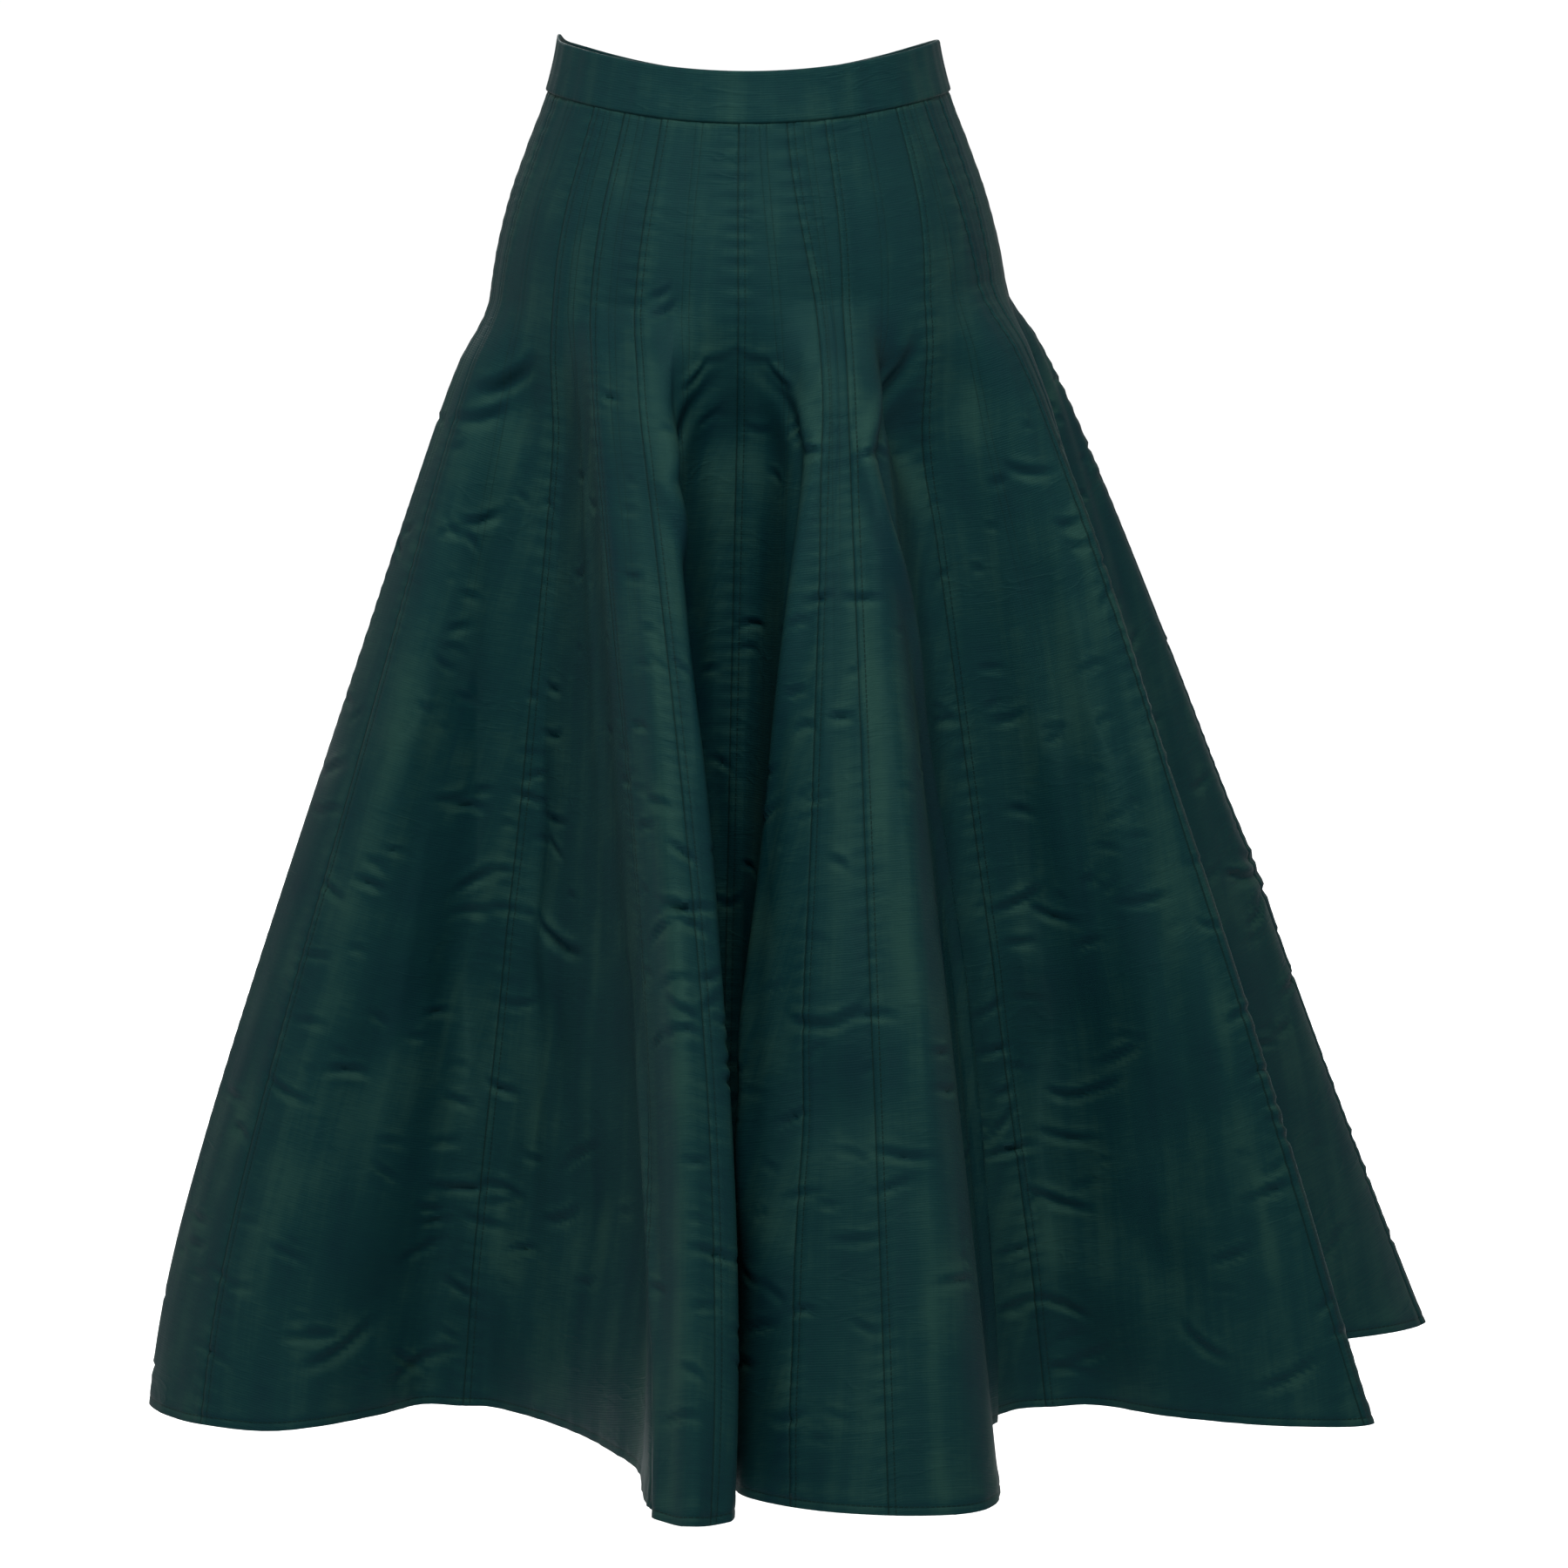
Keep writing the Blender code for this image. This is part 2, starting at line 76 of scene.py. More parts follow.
# Each fold round the skirt, with angles in degrees from the front: the trough before it at the waist and the
# hip, the head's two edges at the neck, then in plan at the hem the trough's place, its floor's width and the
# way it faces, the head's tip, aim and width, how far its edges roll back and its flanks tuck in, how far the
# head bows sideways on its way down and how late, and the rib of its second seam.
FOLD_COLUMNS = (
    "name", "waist", "hip", "head_from", "head_to", "trough_x", "trough_y", "floor", "faces", "tip_x",
    "tip_y", "aim", "head", "roll_a", "roll_b", "tuck_a", "tuck_b", "bow", "late", "seam",
)
FOLDS = [
    ("c", -2.3, -1.6, 15, 23.5, -0.020, -0.140, 0.030, 0, 0.062,
     -0.408, -20, 0.184, 0.025, 0.038, 0.010, 0.018, 0.000, 2, 4),
    ("d", 47, 39, 61, 74, 0.190, -0.148, 0.060, 14, 0.396,
     -0.188, 75, 0.052, 0.040, 0.024, -0.010, 0.010, 0.000, 2, 4),
    ("e", 96, 83, 97, 110, 0.258, -0.020, 0.040, 70, 0.452,
     0.092, 104, 0.080, 0.044, 0.030, -0.014, 0.016, 0.008, 2, 4),
    ("f", 138, 132, 147, 164, 0.205, 0.165, 0.044, 128, 0.285,
     0.368, 146, 0.090, 0.030, 0.034, 0.012, 0.014, 0.000, 2, 3),
    ("g", 180, 180, 194, 211, 0.000, 0.215, 0.050, 180, -0.115,
     0.430, 193, 0.100, 0.034, 0.030, 0.014, 0.012, 0.006, 2, 3),
    ("h", 220, 223, 234, 248, -0.195, 0.180, 0.048, 226, -0.335,
     0.252, 238, 0.080, 0.030, 0.030, 0.010, 0.012, 0.000, 2, 3),
    ("a", 262, 263, 277, 293, -0.238, 0.015, 0.044, 275, -0.358,
     -0.184, 310, 0.130, 0.010, 0.030, 0.016, -0.006, -0.0185, 4, 3),
    ("b", 311, 313.4, 323.5, 341, -0.182, -0.144, 0.056, 352, -0.028,
     -0.437, 4, 0.062, 0.034, 0.018, 0.037, 0.034, 0.014, 2, 3),
]
FOLD_ROWS = [dict(zip(FOLD_COLUMNS, row)) for row in FOLDS]
FOLD_ORDER = [fold["name"] for fold in FOLD_ROWS]


def smooth(value):
    value = np.clip(value, 0.0, 1.0)
    return value * value * (3.0 - 2.0 * value)


def blend(first, second, share):
    return first + (second - first) * share


def plan_direction(angle):
    """Unit vector in plan, in degrees from the front towards +X."""
    turn = math.radians(angle)
    return np.array([math.sin(turn), -math.cos(turn)])


def square_to(direction):
    return np.array([-direction[1], direction[0]])


def smooth_curve(before, start, end, after, share):
    """A place between start and end on the smooth curve through four rows."""
    linear = end - before
    square = 2.0 * before - 5.0 * start + 4.0 * end - after
    cube = 3.0 * (start - end) + after - before
    return start + 0.5 * share * (linear + share * (square + share * cube))


def body_section(height):
    """Half width and half depth of the hip and waist at a height."""
    count = len(BODY)
    if height >= BODY[0][0]:
        return BODY[0][1:]
    if height <= BODY[-1][0]:
        return BODY[-1][1:]
    row = next(i for i in range(count - 1) if BODY[i + 1][0] <= height)
    share = (BODY[row][0] - height) / (BODY[row][0] - BODY[row + 1][0])
    near = [BODY[min(count - 1, max(0, row + k))][1:] for k in (-1, 0, 1, 2)]
    return smooth_curve(*near, share)


def body_point(angle, height):
    return plan_direction(angle) * body_section(height)


def dipped(height, angle):
    """The waist seam dips at the front and the back; the dip fades out down the hip. Angle in radians."""
    front = np.cos(angle)
    dip = np.where(front > 0.0, DIP_FRONT, DIP_BACK) * front ** 2
    fade = 1.0 - smooth(height / HIP_Z) if height < 0.0 else 1.0
    return height - dip * fade


def hem_plan():
    """Plan positions of the seventy-two ribs at the hem, nine to a fold."""
    ribs = []
    for number, fold in enumerate(FOLD_ROWS):
        following = FOLD_ROWS[(number + 1) % len(FOLD_ROWS)]
        trough = np.array([fold["trough_x"], fold["trough_y"]])
        next_trough = np.array([following["trough_x"], following["trough_y"]])
        tip = np.array([fold["tip_x"], fold["tip_y"]])
        out = plan_direction(fold["aim"])
        across = square_to(out)
        half = fold["head"] / 2.0
        foot_a = trough + square_to(plan_direction(fold["faces"])) * (fold["floor"] / 2.0)
        foot_b = next_trough - square_to(plan_direction(following["faces"])) * (following["floor"] / 2.0)
        edge_a = tip - across * half - out * fold["roll_a"]
        edge_b = tip + across * half - out * fold["roll_b"]
        flank_a = (foot_a + edge_a) / 2.0 + across * fold["tuck_a"]
        flank_b = (foot_b + edge_b) / 2.0 - across * fold["tuck_b"]
        face_a = tip + across * (half * FACE_RIBS[0])
        face_b = tip + across * (half * FACE_RIBS[1])
        ribs += [trough, foot_a, flank_a, edge_a, face_a, face_b, edge_b, flank_b, foot_b]
    return ribs


def rib_angles():
    """Angles of the ribs at the waist seam, where the gores are even, and at the folds' neck."""
    waist, neck = [], []
    for number, fold in enumerate(FOLD_ROWS):
        following = FOLD_ROWS[(number + 1) % len(FOLD_ROWS)]
        next_waist = following["waist"] + (360.0 if following["waist"] < fold["waist"] else 0.0)
        end = following["hip"] + (360.0 if following["hip"] < fold["hip"] else 0.0)
        start, head_a, head_b = fold["hip"], fold["head_from"], fold["head_to"]
        neck += [start, blend(start, head_a, FOOT_SHARE), blend(start, head_a, FLANK_SHARE), head_a]
        neck += [blend(head_a, head_b, (1.0 + face) / 2.0) for face in FACE_RIBS] + [head_b]
        neck += [blend(end, head_b, FLANK_SHARE), blend(end, head_b, FOOT_SHARE)]
        lines = [0, fold["seam"], LAST_SEAM, STITCHED_RIB, RIBS]
        width = (next_waist - fold["waist"]) / (len(lines) - 1)
        for rib in range(RIBS):
            panel = max(i for i in range(len(lines) - 1) if lines[i] <= rib)
            share = (rib - lines[panel]) / (lines[panel + 1] - lines[panel])
            waist.append(fold["waist"] + width * (panel + share))
    return waist, neck


HEM_PLAN = hem_plan()
WAIST_ANGLES, NECK_ANGLES = rib_angles()


def flare(height, angle):
    """Share of the way from the hip to the hem's plan."""
    release = RELEASE_Z + RELEASE_TILT * math.sin(math.radians(angle))
    if height >= release:
        return 0.0
    drop = (release - height) / (release - HEM_Z)
    opened = RELEASE_START + (1.0 - RELEASE_START) * (release - height) / RELEASE_EASE
    return drop ** FLARE_POWER * smooth(opened)


def swing(share, late):
    """A bow from nothing at both ends to 1 between them, lower down the larger late is."""
    greatest = (late / (late + 1.0)) ** late / (late + 1.0)
    return share ** late * (1.0 - share) / greatest


def ring_ribs(height):
    """Plan positions of the seventy-two ribs at one height."""
    settle = smooth(height / NECK_Z)
    opening = smooth((RELEASE_Z - height) / (RELEASE_Z - NECK_Z))
    drawn = POCKET * opening * (1.0 - smooth((NECK_Z - height) / (NECK_Z - HEM_Z)))
    weights = {0: 1.0, 1: POCKET_AT_FOOT, RIBS - 1: POCKET_AT_FOOT}
    found = []
    for number, hem_rib in enumerate(HEM_PLAN):
        share = flare(height, NECK_ANGLES[number])
        angle = blend(WAIST_ANGLES[number], NECK_ANGLES[number], settle)
        point = blend(body_point(angle, height), hem_rib, share)
        point = point - plan_direction(angle) * (drawn * weights.get(number % RIBS, 0.0))
        fold = FOLD_ROWS[number // RIBS]
        if RIB_EDGE <= number % RIBS <= RIBS - RIB_EDGE:
            sideways = square_to(plan_direction(fold["aim"]))
            point = point + sideways * (fold["bow"] * swing(share, fold["late"]))
        found.append(point)
    return np.array(found)


class Ring:
    """The cloth's closed outline at one height; a position is counted in ribs from fold c's first seam."""

    def __init__(self, height):
        self.height = height
        self.ribs = ring_ribs(height)
        self.section = body_section(height)

    def at(self, position):
        count = len(self.ribs)
        nearest = np.floor(position + 0.5).astype(int)
        share = (position - nearest + 0.5)[:, None]
        first, last = 0.5 * (1.0 - share) ** 2, 0.5 * share ** 2
        before, here, after = (self.ribs[(nearest + k) % count] for k in (-1, 0, 1))
        plan = before * first + here * (1.0 - first - last) + after * last
        angle = np.arctan2(plan[:, 0] / self.section[0], -plan[:, 1] / self.section[1])
        height = dipped(self.height, angle)
        return np.column_stack([plan, np.broadcast_to(height, len(plan))])


# Rows down the cloth, even between two heights, and closer at the waist seam and in the turned hem.
ROW_STEP = 0.0029
WAIST_ROWS = (0.0, -0.0012, -0.0026)
EVEN_FROM, EVEN_TO = -0.0045, HEM_Z + 0.0145
HEM_ROWS = (0.0112, 0.0088, 0.0070, 0.0058, 0.0048, 0.0036, 0.0022, 0.0010, 0.0)
row_count = 2 * int(round((EVEN_FROM - EVEN_TO) / ROW_STEP / 2.0))
ROW_HEIGHTS = list(WAIST_ROWS)
ROW_HEIGHTS += [blend(EVEN_FROM, EVEN_TO, k / row_count) for k in range(row_count + 1)]
ROW_HEIGHTS += [HEM_Z + rise for rise in HEM_ROWS]
# How far above and below a row its slope is read, and how many ribs to each side its way round.
SLOPE_STEP = 0.002
WAY_STEP = 0.02
RINGS = [Ring(height) for height in ROW_HEIGHTS]
RINGS_ABOVE = [Ring(height + SLOPE_STEP) for height in ROW_HEIGHTS]
RINGS_BELOW = [Ring(height - SLOPE_STEP) for height in ROW_HEIGHTS]
RIB_TOTAL = len(FOLD_ORDER) * RIBS
ARC_PLACES = np.linspace(0.0, RIB_TOTAL, RIB_TOTAL * 8 + 1)
ARCS = []
for ring in RINGS:
    steps = np.linalg.norm(np.diff(ring.at(ARC_PLACES), axis=0), axis=1)
    ARCS.append(np.concatenate([[0.0], np.cumsum(steps)]))
ring_places = np.array([ring.at(ARC_PLACES) for ring in RINGS])
falls = np.cumsum(np.linalg.norm(np.diff(ring_places, axis=0), axis=2), axis=0)
FALLS = np.concatenate([np.zeros((1, len(ARC_PLACES))), falls])


def arc(row, position):
    """The distance round the skirt at one row, from fold c's first seam to a position counted in ribs."""
    turns = np.floor(position / RIB_TOTAL)
    return turns * ARCS[row][-1] + np.interp(position - turns * RIB_TOTAL, ARC_PLACES, ARCS[row])


# Columns beside each seam, as distances from it, so that its groove and its stitching have a shape. Where a
# gore narrows they draw together, to keep within a share of its width.
SEAM_COLUMNS = (0.0, 0.0005, 0.0012, 0.0022, 0.0034, 0.0044, 0.0056, 0.0074, 0.0096)
SEAM_COLUMNS_SHARE = 0.42
COLUMN_STEP = 0.0052
WIDTH_PROBES = 241
CLOTH = 0.0009

# Creases: the fold and rib position, height, half length and half width, the turn from level
# in degrees, how far the ends bend, the depth, and how far the crease is a step rather than a trough.
CREASES = [
    ("b", 1.30, -0.530, 0.034, 0.0046, -20, 0.006, 0.0047, 0.5),
    ("a", 8.15, -0.494, 0.026, 0.0038, 28, -0.004, 0.0032, 0.4),
    ("a", 8.45, -0.514, 0.034, 0.0033, 10, -0.004, 0.0023, 0.2),
    ("a", 5.38, -0.623, 0.024, 0.0034, -12, 0.003, 0.0027, 0.3),
    ("a", 5.30, -0.500, 0.015, 0.0031, -18, 0.002, 0.0025, 0.3),
    ("a", 5.35, -0.540, 0.013, 0.0027, 8, 0.002, 0.0020, 0.2),
    ("a", 8.39, -0.690, 0.026, 0.0037, 6, 0.003, 0.0031, 0.5),
    ("b", 0.56, -0.687, 0.022, 0.0034, -8, -0.003, 0.0027, 0.5),
    ("b", 1.55, -0.655, 0.029, 0.0036, 22, -0.006, 0.0027, 0.4),
    ("b", 0.67, -0.571, 0.017, 0.0030, 14, 0.003, 0.0020, 0.3),
    ("b", 4.61, -0.481, 0.022, 0.0036, -8, -0.007, 0.0031, 0.3),
    ("a", 6.71, -0.784, 0.038, 0.0047, 38, 0.004, 0.0038, 0.4),
    ("a", 7.97, -0.800, 0.034, 0.0044, 30, -0.005, 0.0029, 0.4),
    ("c", 0.68, -0.696, 0.017, 0.0036, -6, 0.002, 0.0032, 0.3),
    ("c", 3.30, -0.702, 0.019, 0.0033, -30, 0.003, 0.0025, 0.3),
    ("c", 4.39, -0.552, 0.031, 0.0046, 4, 0.016, 0.0034, 0.6),
    ("c", 5.29, -0.626, 0.024, 0.0037, -14, 0.004, 0.0029, 0.3),
    ("c", 5.15, -0.645, 0.019, 0.0031, 10, 0.003, 0.0023, 0.3),
    ("d", 0.83, -0.508, 0.026, 0.0038, 20, 0.005, 0.0036, 0.5),
    ("d", 1.35, -0.516, 0.021, 0.0034, -24, 0.003, 0.0029, 0.4),
    ("d", 2.66, -0.503, 0.024, 0.0036, -6, 0.003, 0.0027, 0.4),
    ("d", 1.17, -0.392, 0.017, 0.0031, 12, 0.003, 0.0022, 0.3),
    ("d", 2.44, -0.235, 0.021, 0.0043, -24, 0.004, 0.0031, 0.4),
    ("c", 5.80, -0.697, 0.022, 0.0034, 8, -0.003, 0.0029, 0.5),
    ("c", 7.57, -0.655, 0.017, 0.0030, 6, 0.003, 0.0023, 0.4),
    ("d", 0.77, -0.699, 0.029, 0.0041, -24, 0.004, 0.0034, 0.5),
    ("d", 1.10, -0.660, 0.026, 0.0037, -12, 0.005, 0.0027, 0.4),
    ("d", 1.48, -0.628, 0.029, 0.0037, 8, 0.004, 0.0027, 0.3),
    ("d", 3.06, -0.799, 0.029, 0.0043, 12, 0.004, 0.0031, 0.3),
    ("d", 2.20, -0.780, 0.026, 0.0044, -50, 0.006, 0.0027, 0.4),
    ("d", 0.88, -0.800, 0.029, 0.0041, 16, 0.004, 0.0025, 0.3),
    ("d", 1.91, -0.601, 0.024, 0.0037, 18, 0.003, 0.0025, 0.4),
    ("a", 7.21, -0.268, 0.019, 0.0041, 30, 0.003, 0.0029, 0.3),
    ("a", 7.40, -0.180, 0.031, 0.0063, 38, 0.006, 0.0052, 0.4),
    ("a", 6.30, -0.205, 0.026, 0.0055, 24, 0.006, 0.0032, 0.4),
    ("b", 0.95, -0.400, 0.015, 0.0031, 4, 0.002, 0.0027, 0.2),
    ("b", 0.90, -0.372, 0.013, 0.0027, -8, 0.002, 0.0023, 0.2),
    ("b", 1.10, -0.452, 0.022, 0.0033, -6, 0.002, 0.0027, 0.4),
    ("b", 1.15, -0.472, 0.017, 0.0028, -30, 0.002, 0.0023, 0.4),
    ("c", 0.75, -0.161, 0.019, 0.0036, -8, 0.005, 0.0012, 0.8),
    ("b", 8.30, -0.160, 0.019, 0.0036, 12, 0.005, 0.0012, 0.8),
    ("b", 7.60, -0.172, 0.019, 0.0031, 46, 0.003, 0.0025, 0.7),
    ("c", 1.50, -0.172, 0.017, 0.0030, -40, 0.003, 0.0023, 0.7),
    ("b", 8.20, -0.200, 0.014, 0.0025, 34, 0.002, 0.0016, 0.3),
    ("b", 5.90, -0.132, 0.014, 0.0031, 34, 0.003, 0.0022, 0.3),
    ("b", 5.70, -0.120, 0.011, 0.0027, 26, 0.003, 0.0018, 0.3),
    ("c", 3.40, -0.216, 0.012, 0.0031, -18, 0.003, 0.0031, 0.5),
    ("c", 5.70, -0.216, 0.014, 0.0031, 20, 0.003, 0.0032, 0.5),
    ("c", 7.80, -0.180, 0.038, 0.0085, 60, 0.004, 0.0070, 0.3),
    ("e", 2.10, -0.340, 0.022, 0.0041, 18, 0.004, 0.0029, 0.3),
    ("e", 3.60, -0.520, 0.028, 0.0043, -14, 0.005, 0.0031, 0.4),
    ("e", 6.80, -0.440, 0.026, 0.0040, 12, 0.003, 0.0029, 0.4),
    ("e", 7.30, -0.670, 0.031, 0.0043, -20, 0.004, 0.0032, 0.4),
    ("f", 1.40, -0.470, 0.026, 0.0040, 16, 0.003, 0.0029, 0.3),
    ("f", 4.20, -0.570, 0.029, 0.0044, -12, 0.010, 0.0031, 0.5),
    ("f", 6.90, -0.360, 0.022, 0.0038, 22, 0.003, 0.0027, 0.4),
    ("f", 7.60, -0.640, 0.031, 0.0044, -16, 0.004, 0.0034, 0.4),
    ("g", 1.20, -0.400, 0.022, 0.0040, -18, 0.003, 0.0029, 0.3),
    ("g", 3.90, -0.510, 0.028, 0.0043, 10, 0.010, 0.0031, 0.5),
    ("g", 6.30, -0.680, 0.029, 0.0041, -14, 0.004, 0.0031, 0.4),
    ("g", 7.40, -0.300, 0.019, 0.0040, 26, 0.004, 0.0031, 0.4),
    ("h", 1.10, -0.560, 0.026, 0.0040, 14, 0.003, 0.0029, 0.4),
    ("h", 4.80, -0.420, 0.024, 0.0041, -10, 0.008, 0.0027, 0.4),
    ("h", 7.20, -0.620, 0.029, 0.0041, 20, 0.004, 0.0031, 0.4),
    ("a", 1.50, -0.450, 0.024, 0.0041, -16, 0.003, 0.0029, 0.4),
    ("a", 2.60, -0.700, 0.029, 0.0043, 12, 0.004, 0.0031, 0.4),
]

# Soft dents (negative) and swellings between the creases: the fold and rib position, height,
# half length down the cloth, half width across it, the lean from upright in degrees, and the height.
BUCKLES = [
    ("c", 4.60, -0.605, 0.032, 0.030, 14, -0.0070),
    ("c", 4.40, -0.530, 0.050, 0.026, 0, 0.0030),
    ("c", 3.60, -0.690, 0.045, 0.020, -10, 0.0060),
    ("c", 3.90, -0.775, 0.040, 0.018, -4, 0.0034),
    ("c", 4.70, -0.715, 0.070, 0.018, 6, -0.0046),
    ("c", 2.60, -0.615, 0.030, 0.020, 24, -0.0050),
    ("c", 5.60, -0.560, 0.240, 0.010, 0, 0.0026),
    ("c", 5.40, -0.645, 0.020, 0.016, 0, -0.0022),
    ("d", 1.40, -0.595, 0.048, 0.034, 18, -0.0070),
    ("d", 0.75, -0.545, 0.034, 0.018, -10, 0.0034),
    ("d", 2.30, -0.665, 0.050, 0.028, 24, -0.0052),
    ("d", 0.90, -0.750, 0.040, 0.030, -34, 0.0056),
    ("d", 1.90, -0.735, 0.034, 0.024, -30, -0.0040),
    ("d", 2.55, -0.450, 0.160, 0.014, 4, 0.0028),
    ("d", 2.00, -0.330, 0.060, 0.022, 10, -0.0030),
    ("d", 3.30, -0.560, 0.050, 0.018, -6, 0.0024),
    ("b", 0.50, -0.755, 0.056, 0.026, -14, 0.0052),
    ("b", 1.60, -0.690, 0.048, 0.030, 20, -0.0066),
    ("b", 1.20, -0.590, 0.038, 0.022, 0, -0.0040),
    ("b", 0.90, -0.530, 0.030, 0.018, -20, 0.0030),
    ("b", 2.00, -0.785, 0.044, 0.022, 10, 0.0042),
    ("b", 0.60, -0.460, 0.060, 0.020, 0, -0.0030),
    ("b", 2.20, -0.700, 0.190, 0.042, 0, -0.0120),
    ("b", 4.30, -0.560, 0.240, 0.009, 0, 0.0022),
    ("a", 6.60, -0.610, 0.056, 0.024, 12, -0.0052),
    ("a", 5.70, -0.730, 0.060, 0.022, 10, 0.0044),
    ("a", 7.90, -0.560, 0.046, 0.022, -8, -0.0046),
    ("a", 6.20, -0.420, 0.110, 0.014, 4, 0.0028),
    ("a", 7.20, -0.760, 0.040, 0.028, 30, -0.0046),
    ("a", 8.20, -0.680, 0.050, 0.020, 12, 0.0036),
    ("a", 7.40, -0.196, 0.030, 0.020, 40, -0.0050),
    ("a", 8.60, -0.205, 0.034, 0.012, 10, 0.0026),
    ("b", 8.20, -0.215, 0.030, 0.018, 10, -0.0040),
    ("c", 0.85, -0.215, 0.030, 0.018, -10, -0.0040),
    ("c", 7.80, -0.195, 0.055, 0.015, -24, -0.0105),
    ("c", 2.70, -0.600, 0.110, 0.034, 0, 0.0095),
    ("c", 4.50, -0.190, 0.034, 0.022, 0, 0.0030),
    ("b", 4.80, -0.200, 0.040, 0.022, 0, 0.0030),
    ("d", 1.30, -0.186, 0.030, 0.020, -18, -0.0030),
]

# Crisp fold edges: the fold, the side that lies behind (1 to the right, -1 to the left), how far the cloth
# stands out before the edge and sinks behind it, its half width, and its path as height and rib position.
EDGES = [
    ("c", 1, 0.0066, 0.0062, 0.0074, (
        (-0.155, 7.60), (-0.185, 6.70), (-0.215, 5.88), (-0.259, 6.17), (-0.313, 6.73), (-0.368, 7.05),
        (-0.455, 7.68), (-0.540, 8.02), (-0.623, 8.07), (-0.704, 7.92), (-0.850, 7.84),
    )),
    ("c", -1, 0.0055, 0.0040, 0.0085, (
        (-0.160, 0.80), (-0.188, 2.10), (-0.214, 3.11), (-0.280, 2.85), (-0.381, 2.55), (-0.481, 2.50),
        (-0.568, 2.70), (-0.690, 2.95),
    )),
    ("b", 1, 0.0055, 0.0040, 0.0085, (
        (-0.160, 8.30), (-0.192, 7.30), (-0.235, 6.26), (-0.317, 7.30), (-0.419, 8.00), (-0.514, 8.50),
        (-0.640, 8.90),
    )),
    ("b", -1, 0.0040, 0.0036, 0.0085, (
        (-0.520, 2.50), (-0.608, 2.70), (-0.669, 2.85), (-0.745, 3.09), (-0.830, 3.26), (-0.910, 3.40),
    )),
    ("d", 1, 0.0030, 0.0030, 0.0060, (
        (-0.200, 4.86), (-0.254, 4.82), (-0.356, 4.60), (-0.490, 4.50), (-0.640, 4.50), (-0.760, 4.50),
    )),
    ("f", 1, 0.0026, 0.0022, 0.0090, ((-0.190, 6.00), (-0.300, 6.20), (-0.450, 6.50), (-0.640, 6.80))),
    ("g", -1, 0.0026, 0.0022, 0.0090, ((-0.190, 3.00), (-0.300, 2.80), (-0.450, 2.60), (-0.620, 2.30))),
    ("h", 1, 0.0024, 0.0020, 0.0090, ((-0.200, 6.00), (-0.330, 6.30), (-0.480, 6.60), (-0.660, 6.90))),
]
# Lengths over which an edge comes up from the top of its path, and dies away past its foot. The cloth behind
# it sinks sooner than the edge itself comes up.
EDGE_START = 0.09
EDGE_PAST = 0.03
EDGE_END = 0.10

# Crests painted paler, as a painted highlight: the fold, the half width, how far, and the path.
PAINTED_CREST_HIGHLIGHTS = [
    ("b", 0.0060, 0.22, (
        (-0.250, 4.78), (-0.360, 4.67), (-0.461, 4.45), (-0.561, 4.24), (-0.660, 4.04), (-0.758, 3.88),
        (-0.880, 3.80),
    )),
    ("c", 0.0065, 0.22, (
        (-0.250, 5.08), (-0.361, 5.23), (-0.440, 5.29), (-0.530, 5.48), (-0.674, 5.49), (-0.762, 5.43),
        (-0.880, 5.40),
    )),
    ("d", 0.0060, 0.24, (
        (-0.200, 3.90), (-0.322, 3.61), (-0.402, 3.50), (-0.492, 3.62), (-0.634, 3.35), (-0.880, 3.00),
    )),
    ("a", 0.0090, 0.18, (
        (-0.330, 5.95), (-0.464, 5.87), (-0.568, 5.78), (-0.677, 5.69), (-0.783, 5.46), (-0.880, 5.40),
    )),
    ("f", 0.0080, 0.20, ((-0.240, 4.60), (-0.460, 4.50), (-0.700, 4.30), (-0.880, 4.20))),
    ("g", 0.0080, 0.20, ((-0.240, 4.30), (-0.460, 4.40), (-0.700, 4.60), (-0.880, 4.70))),
    ("h", 0.0080, 0.20, ((-0.240, 4.60), (-0.460, 4.40), (-0.700, 4.30), (-0.880, 4.20))),
]
CREST_FADE = 0.10


def beside_path(panel, row, fold_name, path):
    """How far each point of a gore's row lies to the side of a path down a fold."""
    depths, ribs = [-height for height, _ in path], [rib for _, rib in path]
    place = FOLD_ORDER.index(fold_name) * RIBS + np.interp(-ROW_HEIGHTS[row], depths, ribs)
    place += RIB_TOTAL * round((panel.position.mean() - place) / RIB_TOTAL)
    return arc(row, panel.position[row]) - arc(row, place)


def painted_crest_highlight(panel):
    """How strongly the painted highlight along the crests shows, at every point of a gore."""
    wear_and_painted_light = np.zeros(panel.height.shape)
    for fold_name, half_width, strength, path in PAINTED_CREST_HIGHLIGHTS:
        for row, height in enumerate(ROW_HEIGHTS):
            fade = smooth((path[0][0] - height) / CREST_FADE)
            if fade <= 0.0:
                continue
            sideways = beside_path(panel, row, fold_name, path) / half_width
            patchy = 0.75 + 0.25 * math.sin(height * 61.0 + 1.7 * math.sin(height * 23.0))
            # Painted highlight: the colour is made paler along each crest's path.
            wear_and_painted_light[row] += fade * strength * patchy * np.exp(-sideways ** 2)
    return wear_and_painted_light


def crease_shape(along, across, step):
    """A soft trough with a low ridge on each side, or a step, fading to both ends."""
    fade = np.where(np.abs(along) < 1.0, np.cos(0.5 * math.pi * np.clip(along, -1.0, 1.0)) ** 1.4, 0.0)
    trough = -(1.0 - 1.3 * across ** 2)
    return fade * ((1.0 - step) * trough + step * 1.7 * across) * np.exp(-across ** 2)


